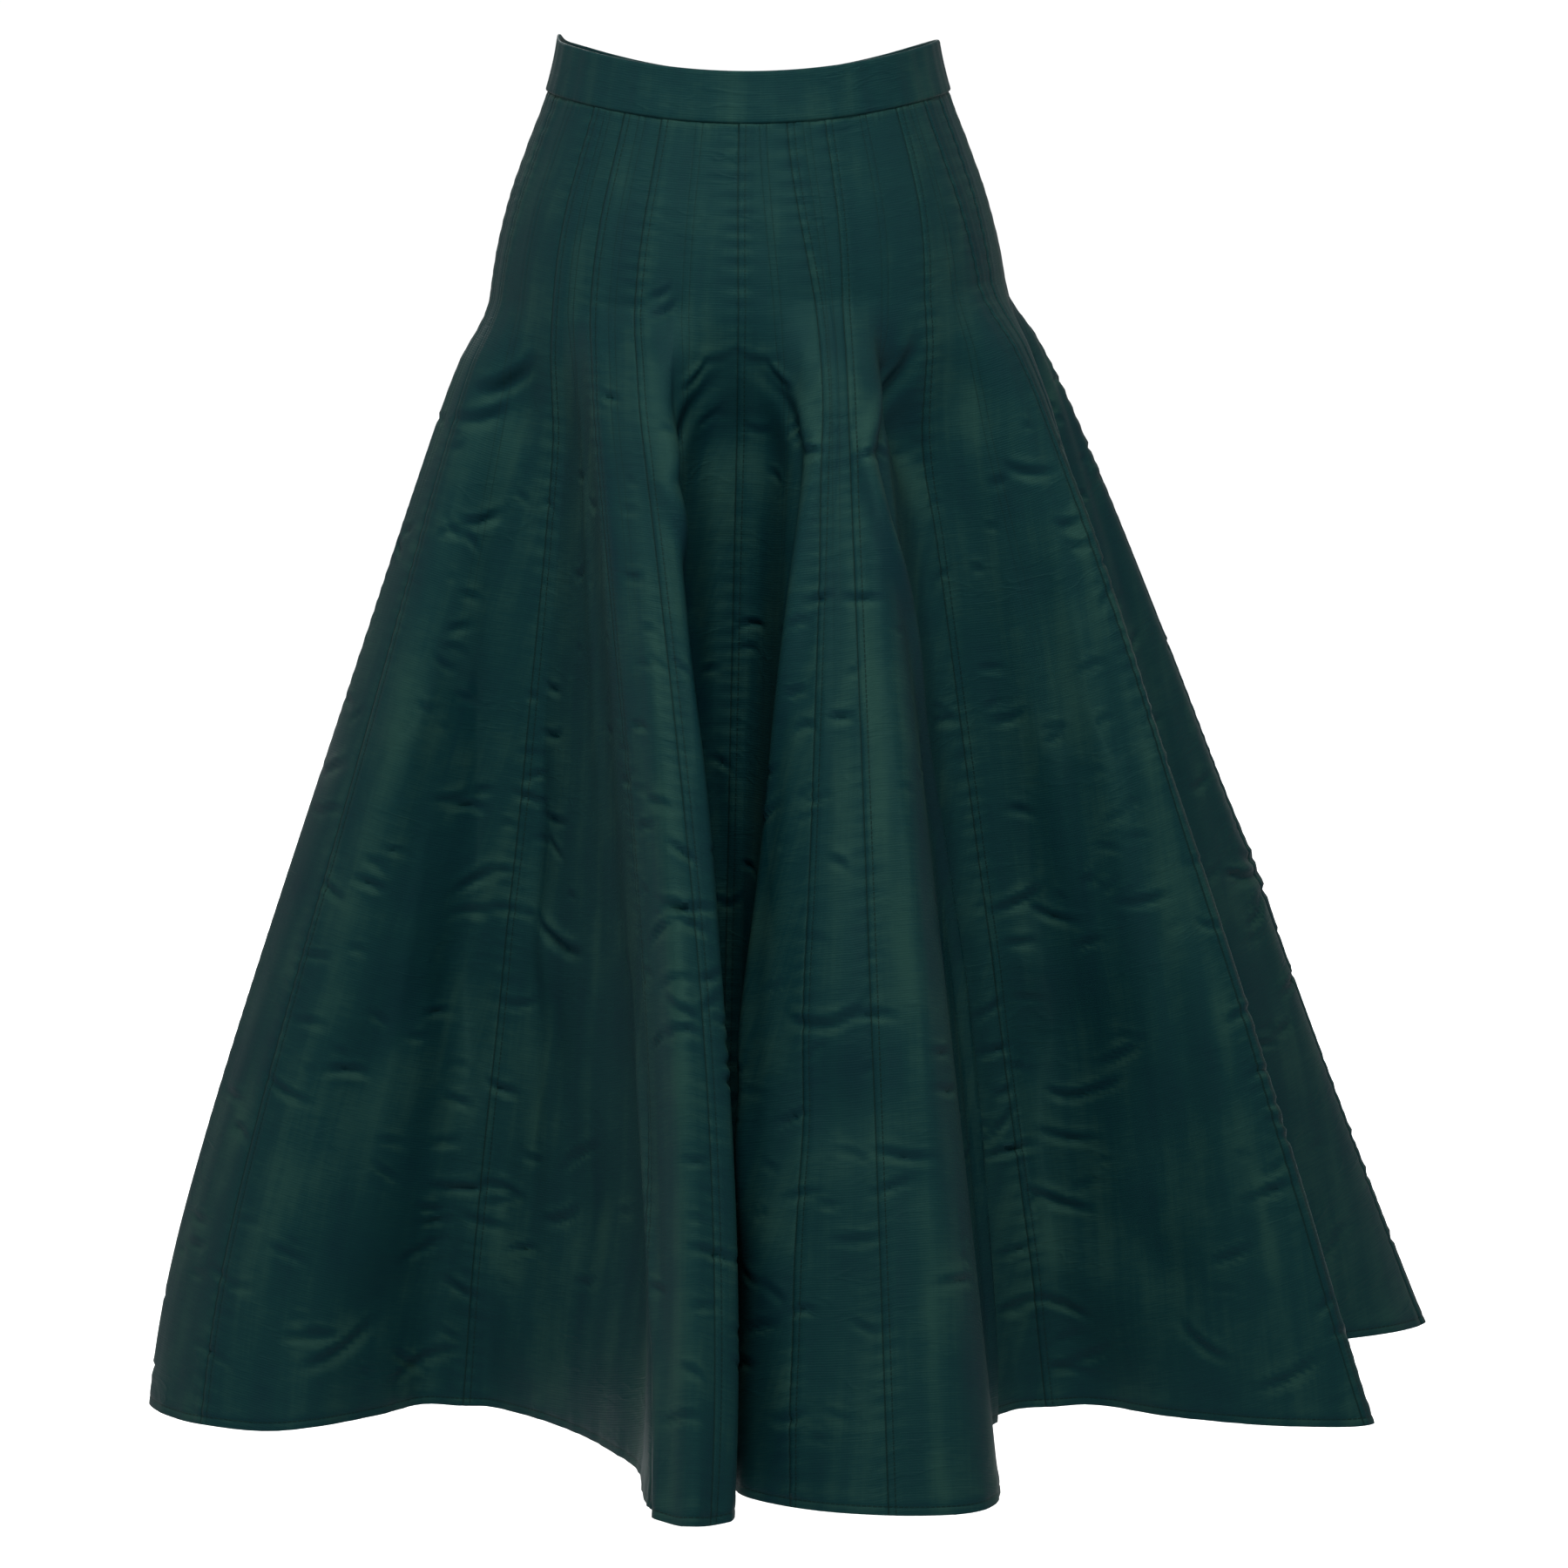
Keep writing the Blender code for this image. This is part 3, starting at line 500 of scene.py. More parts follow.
# Shorter, shallower crumples all over, with the values of a crease, longer and deeper towards the hem, and
# soft buckles on the hidden sides, with the values of a buckle. They are the same on every run.
CRUMPLE_COUNT = 110
HIDDEN_BUCKLES = 12
STRAIGHT_TO = 5.2
rng = random.Random(41)
CRUMPLES = []
for fold_name in FOLD_ORDER:
    for _ in range(CRUMPLE_COUNT):
        height = HEM_Z * (0.22 + 0.76 * rng.random() ** 0.8)
        spread = 0.45 + 0.55 * height / HEM_Z
        strong = rng.random() ** 2.0
        CRUMPLES.append((
            fold_name, RIBS * rng.random(), height, (0.006 + 0.012 * rng.random() + 0.010 * strong) * spread,
            0.0022 + 0.0010 * rng.random() + 0.0009 * strong, rng.gauss(0.0, 16.0), rng.gauss(0.0, 0.0025),
            0.0009 + 0.0008 * rng.random() + 0.0016 * strong, 0.7 * rng.random(),
        ))
for fold_name in "efgh":
    for _ in range(HIDDEN_BUCKLES):
        height = HEM_Z * rng.uniform(0.40, 0.96)
        mark = (
            fold_name, RIBS * rng.random(), height, rng.uniform(0.035, 0.080), rng.uniform(0.016, 0.030),
            rng.gauss(0.0, 16.0), rng.choice((-1.0, 1.0)) * rng.uniform(0.0026, 0.0060),
        )
        # The near side of fold e hangs straight, as its outline shows.
        if fold_name != "e" or mark[1] > STRAIGHT_TO:
            BUCKLES.append(mark)

# Long soft ridges down the folds, with the values of a buckle: stiff cloth never hangs in a perfect curve.
RIDGE_COUNT = 8
RIDGES = []
for fold_name in FOLD_ORDER:
    for k in range(RIDGE_COUNT):
        RIDGES.append((
            fold_name, 0.5 + 8.0 * (k + 0.5 * rng.random()) / RIDGE_COUNT, rng.uniform(-0.30, -0.75),
            rng.uniform(0.10, 0.26), rng.uniform(0.006, 0.014), rng.gauss(0.0, 2.5),
            rng.choice((-1.0, 1.0)) * rng.uniform(0.0008, 0.0022),
        ))


class Panel:
    """One gore between two seams: rows of points, outward normals, and its distances over the cloth."""

    def __init__(self, start, end):
        probe = np.linspace(start, end, WIDTH_PROBES)
        hem = RINGS[-1].at(probe)
        hem_width = float(np.linalg.norm(np.diff(hem, axis=0), axis=1).sum())
        middle = hem_width - 2.0 * SEAM_COLUMNS[-1]
        steps = max(2, 2 * int(round(middle / COLUMN_STEP / 2.0)))
        rows = []
        for ring, above, below in zip(RINGS, RINGS_ABOVE, RINGS_BELOW):
            line = ring.at(probe)
            length = np.concatenate([[0.0], np.cumsum(np.linalg.norm(np.diff(line, axis=0), axis=1))])
            width = length[-1]
            squeeze = min(1.0, SEAM_COLUMNS_SHARE * width / SEAM_COLUMNS[-1])
            edge = np.array(SEAM_COLUMNS) * squeeze
            inner = np.linspace(edge[-1], width - edge[-1], steps + 1)
            across = np.concatenate([edge[:-1], inner, width - edge[-2::-1]])
            position = np.interp(across, length, probe)
            points = ring.at(position)
            way = ring.at(position + WAY_STEP) - ring.at(position - WAY_STEP)
            down = below.at(position) - above.at(position)
            normal = np.cross(down, way)
            normal /= np.linalg.norm(normal, axis=1)[:, None]
            rows.append((points, normal, across, width - across, position))
        parts = (np.array(part) for part in zip(*rows))
        self.points, self.normals, self.left, self.right, self.position = parts
        self.height = np.repeat(np.array(ROW_HEIGHTS)[:, None], self.points.shape[1], axis=1)
        drops = np.linalg.norm(np.diff(self.points, axis=0), axis=2)
        self.down = np.concatenate([np.zeros((1, drops.shape[1])), np.cumsum(drops, axis=0)])
        self.hem_width = hem_width
        self.longest = float(self.down[-1].max())


def near_mark(panel, fold_name, rib, height, reach):
    """Rows near a mark, and how far sideways and upwards each point is from it; None if it lies elsewhere."""
    place = FOLD_ORDER.index(fold_name) * RIBS + rib
    row = int(np.argmin(np.abs(np.array(ROW_HEIGHTS) - height)))
    first, last = panel.position[row][0], panel.position[row][-1]
    place += RIB_TOTAL * round(((first + last) / 2.0 - place) / RIB_TOTAL)
    shift = float(arc(row, place) - arc(row, first))
    width = panel.left[row][-1]
    if shift < -reach or shift > width + reach:
        return None
    fall = float(np.interp(place % RIB_TOTAL, ARC_PLACES, FALLS[row]))
    rows = np.nonzero((np.abs(panel.down - fall) < reach).any(axis=1))[0]
    rows = slice(rows[0], rows[-1] + 1)
    sideways = panel.left[rows] / panel.left[rows, -1:] * width - shift
    return rows, sideways, fall - panel.down[rows]


def turned(first, second, degrees):
    """Two distances, read along and across a line that is turned from the first towards the second."""
    cosine, sine = math.cos(math.radians(degrees)), math.sin(math.radians(degrees))
    return first * cosine + second * sine, second * cosine - first * sine


def add_crease(relief, panel, mark):
    fold_name, rib, height, half_length, half_width, turn, bend, depth, step = mark
    found = near_mark(panel, fold_name, rib, height, half_length + 3.0 * half_width)
    if found is not None:
        rows, sideways, upward = found
        along, across = turned(sideways, upward, turn)
        along /= half_length
        relief[rows] += depth * crease_shape(along, (across - bend * along ** 2) / half_width, step)


def add_buckle(relief, panel, mark):
    fold_name, rib, height, half_length, half_width, lean, raised = mark
    found = near_mark(panel, fold_name, rib, height, 2.2 * max(half_length, half_width))
    if found is not None:
        rows, sideways, upward = found
        along, across = turned(upward, sideways, lean)
        relief[rows] += raised * np.exp(-(along / half_length) ** 2 - (across / half_width) ** 2)


def add_edge(relief, panel, mark):
    fold_name, side, rise, sink, half_width, path = mark
    for row, height in enumerate(ROW_HEIGHTS):
        start = smooth((path[0][0] - height) / EDGE_START)
        end = smooth((height - path[-1][0] + EDGE_PAST) / EDGE_END)
        if start * end <= 0.0:
            continue
        sideways = side * beside_path(panel, row, fold_name, path) / half_width
        relief[row] += start * end * rise * np.exp(-(sideways + 1.0) ** 2)
        relief[row] -= start ** 0.4 * end * sink * np.exp(-(sideways - 1.0) ** 2)


# Low relief of the making, as its height or depth and the half width over which it fades.
SEAM_ROLL = (0.00036, 0.0010)
STITCH_FROM_SEAM = 0.0044
STITCH_SINK = (0.00026, 0.0008)
PUCKER = (0.00034, 0.0095)
PUCKER_PITCH = 0.0105
HEM_STITCH = 0.0048
HEM_SINK = (0.00035, 0.0009)
HEM_SWAY = 0.0020
HEM_SWAY_REACH = 0.055
HEM_WAVE = (0.00032, 0.012)
HEM_WAVE_PITCHES = (0.021, 0.0134)
HEM_WAVE_FROM_SEAM = 0.006
WAIST_WAVE = (0.00018, 0.009)
WAIST_WAVE_RIBS = 0.55
WAIST_SINK = (0.00045, 0.0016)
TUCK_HALF = 0.0022
TUCK_SINK = (0.00016, 0.0007)
TUCK_END = 0.42
TUCK_FADE = 0.12
# Where the turnings lie under the cloth it stands higher: how high, how wide, and over what width it rises.
SEAM_LAYER, SEAM_LAYER_WIDTH, SEAM_LAYER_EDGE = 0.00035, 0.0100, 0.0016
HEM_LAYER, HEM_LAYER_WIDTH, HEM_LAYER_EDGE = 0.00030, 0.0125, 0.0020


def bell(distance, height, half_width):
    """A rounded ridge: its height at no distance, which fades over its half width."""
    return height * np.exp(-(distance / half_width) ** 2)


def panel_relief(panel, number):
    """How far the cloth's face stands off its smooth form, in metres."""
    relief = np.zeros(panel.height.shape)
    nearest = np.minimum(panel.left, panel.right)
    relief -= bell(nearest, *SEAM_ROLL)
    layer = smooth((SEAM_LAYER_WIDTH - panel.left) / SEAM_LAYER_EDGE) * smooth(panel.left / SEAM_LAYER_EDGE)
    relief += SEAM_LAYER * layer
    relief -= bell(panel.left - STITCH_FROM_SEAM, *STITCH_SINK)
    for side, seam in ((panel.left, number), (panel.right, (number + 1) % len(seams))):
        wander = np.sin(panel.down * 37.0 + seam * 2.1) + 0.6 * np.sin(panel.down * 91.0 + seam)
        ripple = np.sin(2.0 * math.pi * panel.down / PUCKER_PITCH + 1.8 * wander)
        strength = 0.55 + 0.45 * np.sin(panel.down * 23.0 + seam * 1.3)
        relief += strength * ripple * bell(side, *PUCKER)
    above_hem = panel.height - HEM_Z
    relief -= bell(above_hem - HEM_STITCH, *HEM_SINK)
    relief += HEM_LAYER * smooth((HEM_LAYER_WIDTH - above_hem) / HEM_LAYER_EDGE)
    sway = np.sin(panel.position * 2.9 + 0.7) + 0.6 * np.sin(panel.position * 5.3 + 2.0)
    relief += HEM_SWAY * sway * np.exp(-above_hem / HEM_SWAY_REACH)
    long_wave, short_wave = (2.0 * math.pi * panel.left / pitch for pitch in HEM_WAVE_PITCHES)
    hem_wave = np.sin(long_wave + number) + 0.7 * np.sin(short_wave + 2.0 * number)
    hem_wave *= smooth(nearest / HEM_WAVE_FROM_SEAM)
    relief += hem_wave * bell(above_hem - HEM_STITCH, *HEM_WAVE)
    waist_wave = np.sin(2.0 * math.pi * panel.position / WAIST_WAVE_RIBS + number)
    relief += waist_wave * bell(panel.down, *WAIST_WAVE) - bell(panel.down, *WAIST_SINK)
    for mark in CREASES + CRUMPLES:
        add_crease(relief, panel, mark)
    for mark in BUCKLES + RIDGES:
        add_buckle(relief, panel, mark)
    for mark in EDGES:
        add_edge(relief, panel, mark)
    tuck = np.abs(panel.left - panel.right) / 2.0 - TUCK_HALF
    relief -= bell(tuck, *TUCK_SINK) * smooth((TUCK_END - panel.down) / TUCK_FADE)
    return relief


def add_mesh(name, vertices, faces):
    mesh = bpy.data.meshes.new(name)
    mesh.from_pydata(vertices, [], faces)
    mesh.update()
    mesh.shade_smooth()
    item = bpy.data.objects.new(name, mesh)
    bpy.context.scene.collection.objects.link(item)
    return item


def add_measure(item, name, values):
    """A length over the cloth, kept at every point for the weave and the stitching to read."""
    layer = item.data.attributes.new(name, "FLOAT", "POINT")
    layer.data.foreach_set("value", np.asarray(values, dtype=np.float32).ravel())


def shell_faces(rows, columns):
    """Faces of a cloth wall: a fine outer grid, an inner grid of every second point, and the four edges."""
    inner_columns = (columns + 1) // 2
    base = rows * columns

    def outer(row, column):
        return row * columns + column

    def inner(row, column):
        return base + (row // 2) * inner_columns + column // 2

    faces = []
    for row in range(rows - 1):
        for column in range(columns - 1):
            corners = ((row, column), (row + 1, column), (row + 1, column + 1), (row, column + 1))
            faces.append(tuple(outer(*corner) for corner in corners))
    for row in range(0, rows - 1, 2):
        for column in range(0, columns - 1, 2):
            corners = ((row, column), (row, column + 2), (row + 2, column + 2), (row + 2, column))
            faces.append(tuple(inner(*corner) for corner in corners))
    for column in range(0, columns - 1, 2):
        for row, way in ((0, 1), (rows - 1, -1)):
            line = [(row, column), (row, column + 1), (row, column + 2)][::way]
            faces.append(tuple(outer(*place) for place in line) + (inner(*line[2]), inner(*line[0])))
    for row in range(0, rows - 1, 2):
        for column, way in ((0, -1), (columns - 1, 1)):
            line = [(row, column), (row + 1, column), (row + 2, column)][::way]
            faces.append(tuple(outer(*place) for place in line) + (inner(*line[2]), inner(*line[0])))
    return faces


def linear_colour(code):
    """An sRGB hex colour as linear red, green, blue and alpha."""
    values = [int(code[k:k + 2], 16) / 255.0 for k in (0, 2, 4)]
    return tuple(v / 12.92 if v <= 0.04045 else ((v + 0.055) / 1.055) ** 2.4 for v in values) + (1.0,)


def set_up(tree, made, settings=None, links=None):
    """Set a node's own properties, inputs and colour stops, and link other nodes' outputs into it."""
    for name, value in (settings or {}).items():
        if name == "stops":
            ramp = made.color_ramp.elements
            for stop, (position, code) in ((ramp[0], value[0]), (ramp[1], value[-1])):
                stop.position, stop.color = position, linear_colour(code)
            for position, code in value[1:-1]:
                ramp.new(position).color = linear_colour(code)
        elif isinstance(name, int) or name in made.inputs.keys():
            made.inputs[name].default_value = value
        else:
            setattr(made, name, value)
    for name, source in (links or {}).items():
        tree.links.new(getattr(source, "outputs", [source])[0], made.inputs[name])
    return made


def node(tree, kind, settings=None, links=None):
    """Add a shader node, such as Math, with its settings and links; a linked node gives its first output."""
    return set_up(tree, tree.nodes.new("ShaderNode" + kind), settings, links)


def new_material(name):
    """A new material with its node tree and its shader."""
    material = bpy.data.materials.new(name)
    material.use_nodes = True
    return material, material.node_tree, material.node_tree.nodes["Principled BSDF"]


def mottled_material(name, noise, stops, settings):
    """A material whose colour runs through the stops with a noise, in the object's own space."""
    material, tree, shader = new_material(name)
    place = node(tree, "TexCoord").outputs["Object"]
    mottle = node(tree, "TexNoise", noise, {0: place})
    set_up(tree, shader, settings, {"Base Color": node(tree, "ValToRGB", {"stops": stops}, {0: mottle})})
    return material, tree, shader, place, mottle


# Silk faille: a plain weave with a thick filling, so fine ribs run crosswise. The warp and the filling are
# dyed apart, bottle green and grey-green, which gives a soft shot sheen with long streaks down the cloth; the
# light and shade of that sheen are painted into the colour.
# The real ribs are 0.6 mm apart; they are drawn at 1.5 mm, the finest that still shows.
RIB_SPACING = 0.0015
# From one stitch to the next, the share of it that is thread, and half the thread's width.
STITCH_LENGTH = 0.0032
STITCH_SHARE = 0.78
THREAD_HALF = 0.00042
# Half widths of the painted shade lines in the seams' grooves and beside the tucks, and the length over which
# a tuck's fades.
GROOVE_HALF = 0.00050
TUCK_LINE_HALF = 0.00034
TUCK_LINE_FADE = 0.20
# Uneven patterns in the cloth: how many to a metre across it, down it and from piece to piece, then the
# detail, the roughness and the distortion.
PATTERNS = (
    ((70.0, 3.2, 7.0), 3.0, 0.5, 0.0),  # broad streaks down the cloth, 14 mm wide
    ((420.0, 16.0, 7.0), 2.0, 0.6, 0.0),  # fine streaks, 2.4 mm wide
    ((22.0, 18.0, 3.0), 3.0, 0.55, 0.0),  # a mottle, 50 mm wide
    ((60.0, 900.0, 7.0), 2.0, 0.6, 0.0),  # slubs across the cloth, 17 mm long and 1.1 mm high
    ((15.0, 24.0, 5.0), 1.0, 0.5, 0.0),  # patches that crumple, 60 mm wide
    ((32.0, 84.0, 5.0), 1.5, 0.5, 0.55),  # the lines of crumples, 30 mm long and 12 mm apart
    ((34.0, 95.0, 5.0), 2.0, 0.5, 0.4),  # shallow dents, 30 mm long and 11 mm high
)


def faille():
    material, tree, shader = new_material("silk_faille")
    across, down, seam, hem, piece, tilt, tuck = (
        node(tree, "Attribute", {"attribute_name": label}).outputs["Fac"]
        for label in ("across", "down", "seam", "hem", "piece", "tilt", "tuck")
    )
    cloth = node(tree, "CombineXYZ", None, {0: across, 1: down, 2: piece})
    made = []
    for scale, detail, rough, distortion in PATTERNS:
        place = node(tree, "Mapping", {"Scale": scale}, {0: cloth})
        settings = {"Scale": 1.0, "Detail": detail, "Roughness": rough, "Distortion": distortion}
        made.append(node(tree, "TexNoise", settings, {0: place}))
    broad, fine, mottle, slub, patch, crumple, dent = made

    # Painted light and shade: the colour turns to the paler grey-green where the relief turns up towards the
    # lights above and along the crests, where a highlight is painted, and to the deeper bottle green, as
    # painted shade, where the cloth turns down.
    streaks_and_painted_shading = node(tree, "Math", {"operation": "MULTIPLY", 1: 0.30}, {0: broad})
    for source, weight in ((fine, 0.14), (mottle, 0.38), (slub, 0.18), (tilt, 0.55)):
        streaks_and_painted_shading = node(tree, "Math", {"operation": "MULTIPLY_ADD", 1: weight}, {0: source, 2: streaks_and_painted_shading})
    stops = ((0.36, "011117"), (0.50, "021619"), (0.66, "0c201e"))
    colour = node(tree, "ValToRGB", {"stops": stops}, {0: streaks_and_painted_shading})

    # Crosswise ribs, which the slubs make uneven.
    phase = node(tree, "Math", {"operation": "MULTIPLY", 1: 2.0 * math.pi / RIB_SPACING}, {0: down})
    phase = node(tree, "Math", {"operation": "MULTIPLY_ADD", 1: 4.0}, {0: slub, 2: phase})
    rib = node(tree, "Math", {"operation": "SINE"}, {0: phase})
    rib = node(tree, "Math", {"operation": "MULTIPLY", 1: 0.5}, {0: rib})
    rib = node(tree, "Math", {"operation": "MULTIPLY_ADD", 1: 1.6}, {0: slub, 2: rib})

    # Crumples too small for the mesh: short, shallow and mostly level, in patches, and more of them close to
    # the seams and low on the cloth. Their lines run where the pattern passes its middle value.
    for source, first, last, weight in ((seam, 0.030, 0.004, 0.03), (down, 0.08, 0.40, 0.05)):
        settings = {"interpolation_type": "SMOOTHSTEP", "From Min": first, "From Max": last, "To Max": weight}
        more = node(tree, "MapRange", settings, {0: source})
        patch = node(tree, "Math", {"operation": "ADD"}, {0: patch, 1: more})
    line = node(tree, "Math", {"operation": "SUBTRACT", 1: 0.5}, {0: crumple})
    line = node(tree, "Math", {"operation": "ABSOLUTE"}, {0: line})
    settings = {"interpolation_type": "SMOOTHSTEP", "From Min": 0.10, "From Max": 0.0}
    line = node(tree, "MapRange", settings, {0: line})
    settings = {"interpolation_type": "SMOOTHSTEP", "From Min": 0.54, "From Max": 0.68, "To Max": 0.55}
    patch = node(tree, "MapRange", settings, {0: patch})
    crumpled = node(tree, "Math", {"operation": "MULTIPLY_ADD"}, {0: line, 1: patch, 2: dent})

    # Stitches: a row beside each seam and one above the hem, each stitch a short raised thread with a gap.
    rows = []
    for distance, row, along in ((across, STITCH_FROM_SEAM, down), (hem, HEM_STITCH, across)):
        on_row = node(tree, "Math", {"operation": "COMPARE", 1: row, 2: THREAD_HALF}, {0: distance})
        turn = node(tree, "Math", {"operation": "DIVIDE", 1: STITCH_LENGTH}, {0: along})
        turn = node(tree, "Math", {"operation": "FRACT"}, {0: turn})
        stitch = node(tree, "Math", {"operation": "LESS_THAN", 1: STITCH_SHARE}, {0: turn})
        rows.append(node(tree, "Math", {"operation": "MULTIPLY"}, {0: on_row, 1: stitch}))
    sewn = node(tree, "Math", {"operation": "MAXIMUM"}, {0: rows[0], 1: rows[1]})

    # Painted shade: the seams' grooves and the steps of the pressed tucks on the hip are painted dark, and
    # the stitches are darker too, most of all in the pale streaks.
    groove = node(tree, "Math", {"operation": "LESS_THAN", 1: GROOVE_HALF}, {0: seam})
    line = node(tree, "Math", {"operation": "COMPARE", 1: TUCK_HALF, 2: TUCK_LINE_HALF}, {0: tuck})
    settings = {"interpolation_type": "SMOOTHSTEP", "From Min": TUCK_END, "To Max": 0.7}
    fade = node(tree, "MapRange", {**settings, "From Max": TUCK_END - TUCK_LINE_FADE}, {0: down})
    line = node(tree, "Math", {"operation": "MULTIPLY"}, {0: line, 1: fade})
    dark = node(tree, "Math", {"operation": "MAXIMUM"}, {0: groove, 1: line})
    dark = node(tree, "Math", {"operation": "MAXIMUM"}, {0: sewn, 1: dark})
    # How strongly the painted shade lines and the darker stitches show, more in the pale streaks.
    wear_and_painted_light = node(tree, "Math", {"operation": "MULTIPLY_ADD", 1: 0.8, 2: 0.40}, {0: broad})
    dark = node(tree, "Math", {"operation": "MULTIPLY"}, {0: dark, 1: wear_and_painted_light})
    shaded = node(tree, "Mix", {"data_type": "RGBA", 7: linear_colour("01090b")}, {0: dark, 6: colour})

    rough = node(tree, "Math", {"operation": "MULTIPLY_ADD", 1: 0.14, 2: 0.56}, {0: fine})
    bump = node(tree, "Bump", {"Strength": 0.26, "Distance": 0.0014}, {"Height": crumpled})
    bump = node(tree, "Bump", {"Strength": 0.30, "Distance": 0.00020}, {"Height": rib, "Normal": bump})
    bump = node(tree, "Bump", {"Strength": 0.6, "Distance": 0.00025}, {"Height": sewn, "Normal": bump})
    settings = {
        "IOR": 1.50, "Specular IOR Level": 0.079, "Specular Tint": linear_colour("b4ffe0"),
        "Anisotropic": 0.45,
    }
    set_up(tree, shader, settings, {"Base Color": shaded.outputs[2], "Roughness": rough, "Normal": bump})
    return material


FAILLE = faille()
# The greatest slope of the relief that still changes the painted shade in the colour, and the angle that
# makes an edge sharp.
SHADING_SLOPE_LIMIT = 0.30
SHARP_ANGLE = 50


def panel_item(name, panel, relief):
    """One gore's mesh, with the measures that its cloth is drawn by."""
    face = panel.points + panel.normals * relief[..., None]
    # The lining side follows the lowest relief round each point, so that it never comes through the face.
    padded = np.pad(relief, 2, mode="edge")
    rows, columns = relief.shape
    lowest = np.min([padded[i:i + rows, j:j + columns] for i in range(5) for j in range(5)], axis=0)
    inner = (panel.points + panel.normals * (lowest - CLOTH)[..., None])[::2, ::2]
    vertices = np.concatenate([face.reshape(-1, 3), inner.reshape(-1, 3)])
    item = add_mesh(name, vertices.tolist(), shell_faces(rows, columns))
    item.data.set_sharp_from_angle(angle=math.radians(SHARP_ANGLE))
    nearest = np.minimum(panel.left, panel.right)
    # Painted light and shade for the colour: cloth whose relief turns up is painted lighter, cloth that turns
    # down darker, and the crests get a painted highlight.
    tilt = np.gradient(relief, axis=0) / np.gradient(panel.down, axis=0)
    tilt = np.clip(tilt, -SHADING_SLOPE_LIMIT, SHADING_SLOPE_LIMIT) + painted_crest_highlight(panel)
    for label, values in (
        ("across", panel.left), ("down", panel.down), ("seam", nearest), ("hem", panel.height - HEM_Z),
        ("tuck", np.abs(panel.left - panel.right) / 2.0), ("tilt", tilt),
    ):
        add_measure(item, label, np.concatenate([values.ravel(), values[::2, ::2].ravel()]))
    return item


seams = []
for fold_index, fold in enumerate(FOLD_ROWS):
    for gore, rib in enumerate((0, fold["seam"], LAST_SEAM)):
        seams.append((f"{fold['name']}{gore + 1}", fold_index * RIBS + rib))
for number, (label, start) in enumerate(seams):
    end = seams[(number + 1) % len(seams)][1]
    if end <= start:
        end += RIB_TOTAL
    panel = Panel(start, end)
    relief = panel_relief(panel, number)
    item = panel_item(f"panel_{label}", panel, relief)
    add_measure(item, "piece", [float(number)] * len(item.data.vertices))
    item.data.materials.append(FAILLE)
    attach(item, "skirt")
    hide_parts(f"gore_{label}")

# ---- Waistband
# One straight strip of the same faille, folded over stiff interfacing and edge-pressed, so it stands crisp.
# It is sewn to the top of the gores, its ends meet at the centre back, and its lower edge sits in a groove.
BAND_HEIGHT = 0.0325
BAND_CLOTH = 0.0025
SOLID_CLOTH = 0.0013
SOLID_GAP = 0.0003
BAND_COLUMNS = 560
BAND_END_GAP = 0.0004
# Its face waves a little round the waist, and puckers along the seam over a share of its height.
BAND_WAVES = (0.00022, 0.00014)
BAND_PUCKER = 0.00016
BAND_PUCKER_SHARE = 0.10
# The faille's seam and hem lines are kept this far away from the band, and its patterns start elsewhere.
SEAM_AWAY, HEM_AWAY, BAND_PIECE = 0.02, 0.5, 40.0
# The left corner stands up a little: how far, at which angle and how many degrees wide.
CORNER_RISE = 0.0035
CORNER_ANGLE = 266.0
CORNER_SPREAD = 7.0


def ring_faces(rings, size, base=0, inward=False):
    """Faces of a closed form through rings of points, with one face over each end."""
    faces = []
    for ring in range(rings - 1):
        for k in range(size):
            a, b = base + ring * size + k, base + ring * size + (k + 1) % size
            faces.append((a, a + size, b + size, b) if inward else (a, b, b + size, a + size))
    first = tuple(base + k for k in reversed(range(size)))
    last = tuple(base + (rings - 1) * size + k for k in range(size))
    return faces + [first[::-1], last[::-1]] if inward else faces + [first, last]


def body_frame(angle, height, proud):
    """A point on the hip or the waist, moved out by proud, with its outward normal. Angle in degrees."""
    step, turn = 0.001, 0.5
    here = body_point(angle, height)
    along = body_point(angle + turn, height) - body_point(angle - turn, height)
    slope = body_point(angle, height - step) - body_point(angle, height + step)
    normal = np.cross([slope[0], slope[1], -2.0 * step], [along[0], along[1], 0.0])
    normal /= np.linalg.norm(normal)
    point = np.array([here[0], here[1], float(dipped(height, math.radians(angle)))])
    return point + normal * proud, normal


# The strip's section, from its turning behind the gores, over the fold at the top and down the inside:
# share of the height, and distance out from the middle of the strip, as a share of half its thickness.
BAND_SECTION = [
    (-0.080, -1.08), (-0.080, -0.88), (0.000, -0.70), (0.000, 0.10), (0.012, 0.62), (0.035, 0.92),
    (0.080, 1.00), (0.180, 1.00), (0.300, 1.02), (0.420, 1.04), (0.540, 1.04), (0.660, 1.04), (0.780, 1.02),
    (0.880, 1.00), (0.945, 0.96), (0.975, 0.80), (0.992, 0.50), (1.000, 0.05), (0.995, -0.45),
    (0.978, -0.80), (0.945, -0.95), (0.800, -1.00), (0.600, -1.00), (0.400, -1.00), (0.200, -1.00),
    (0.060, -1.00), (-0.020, -1.08),
]
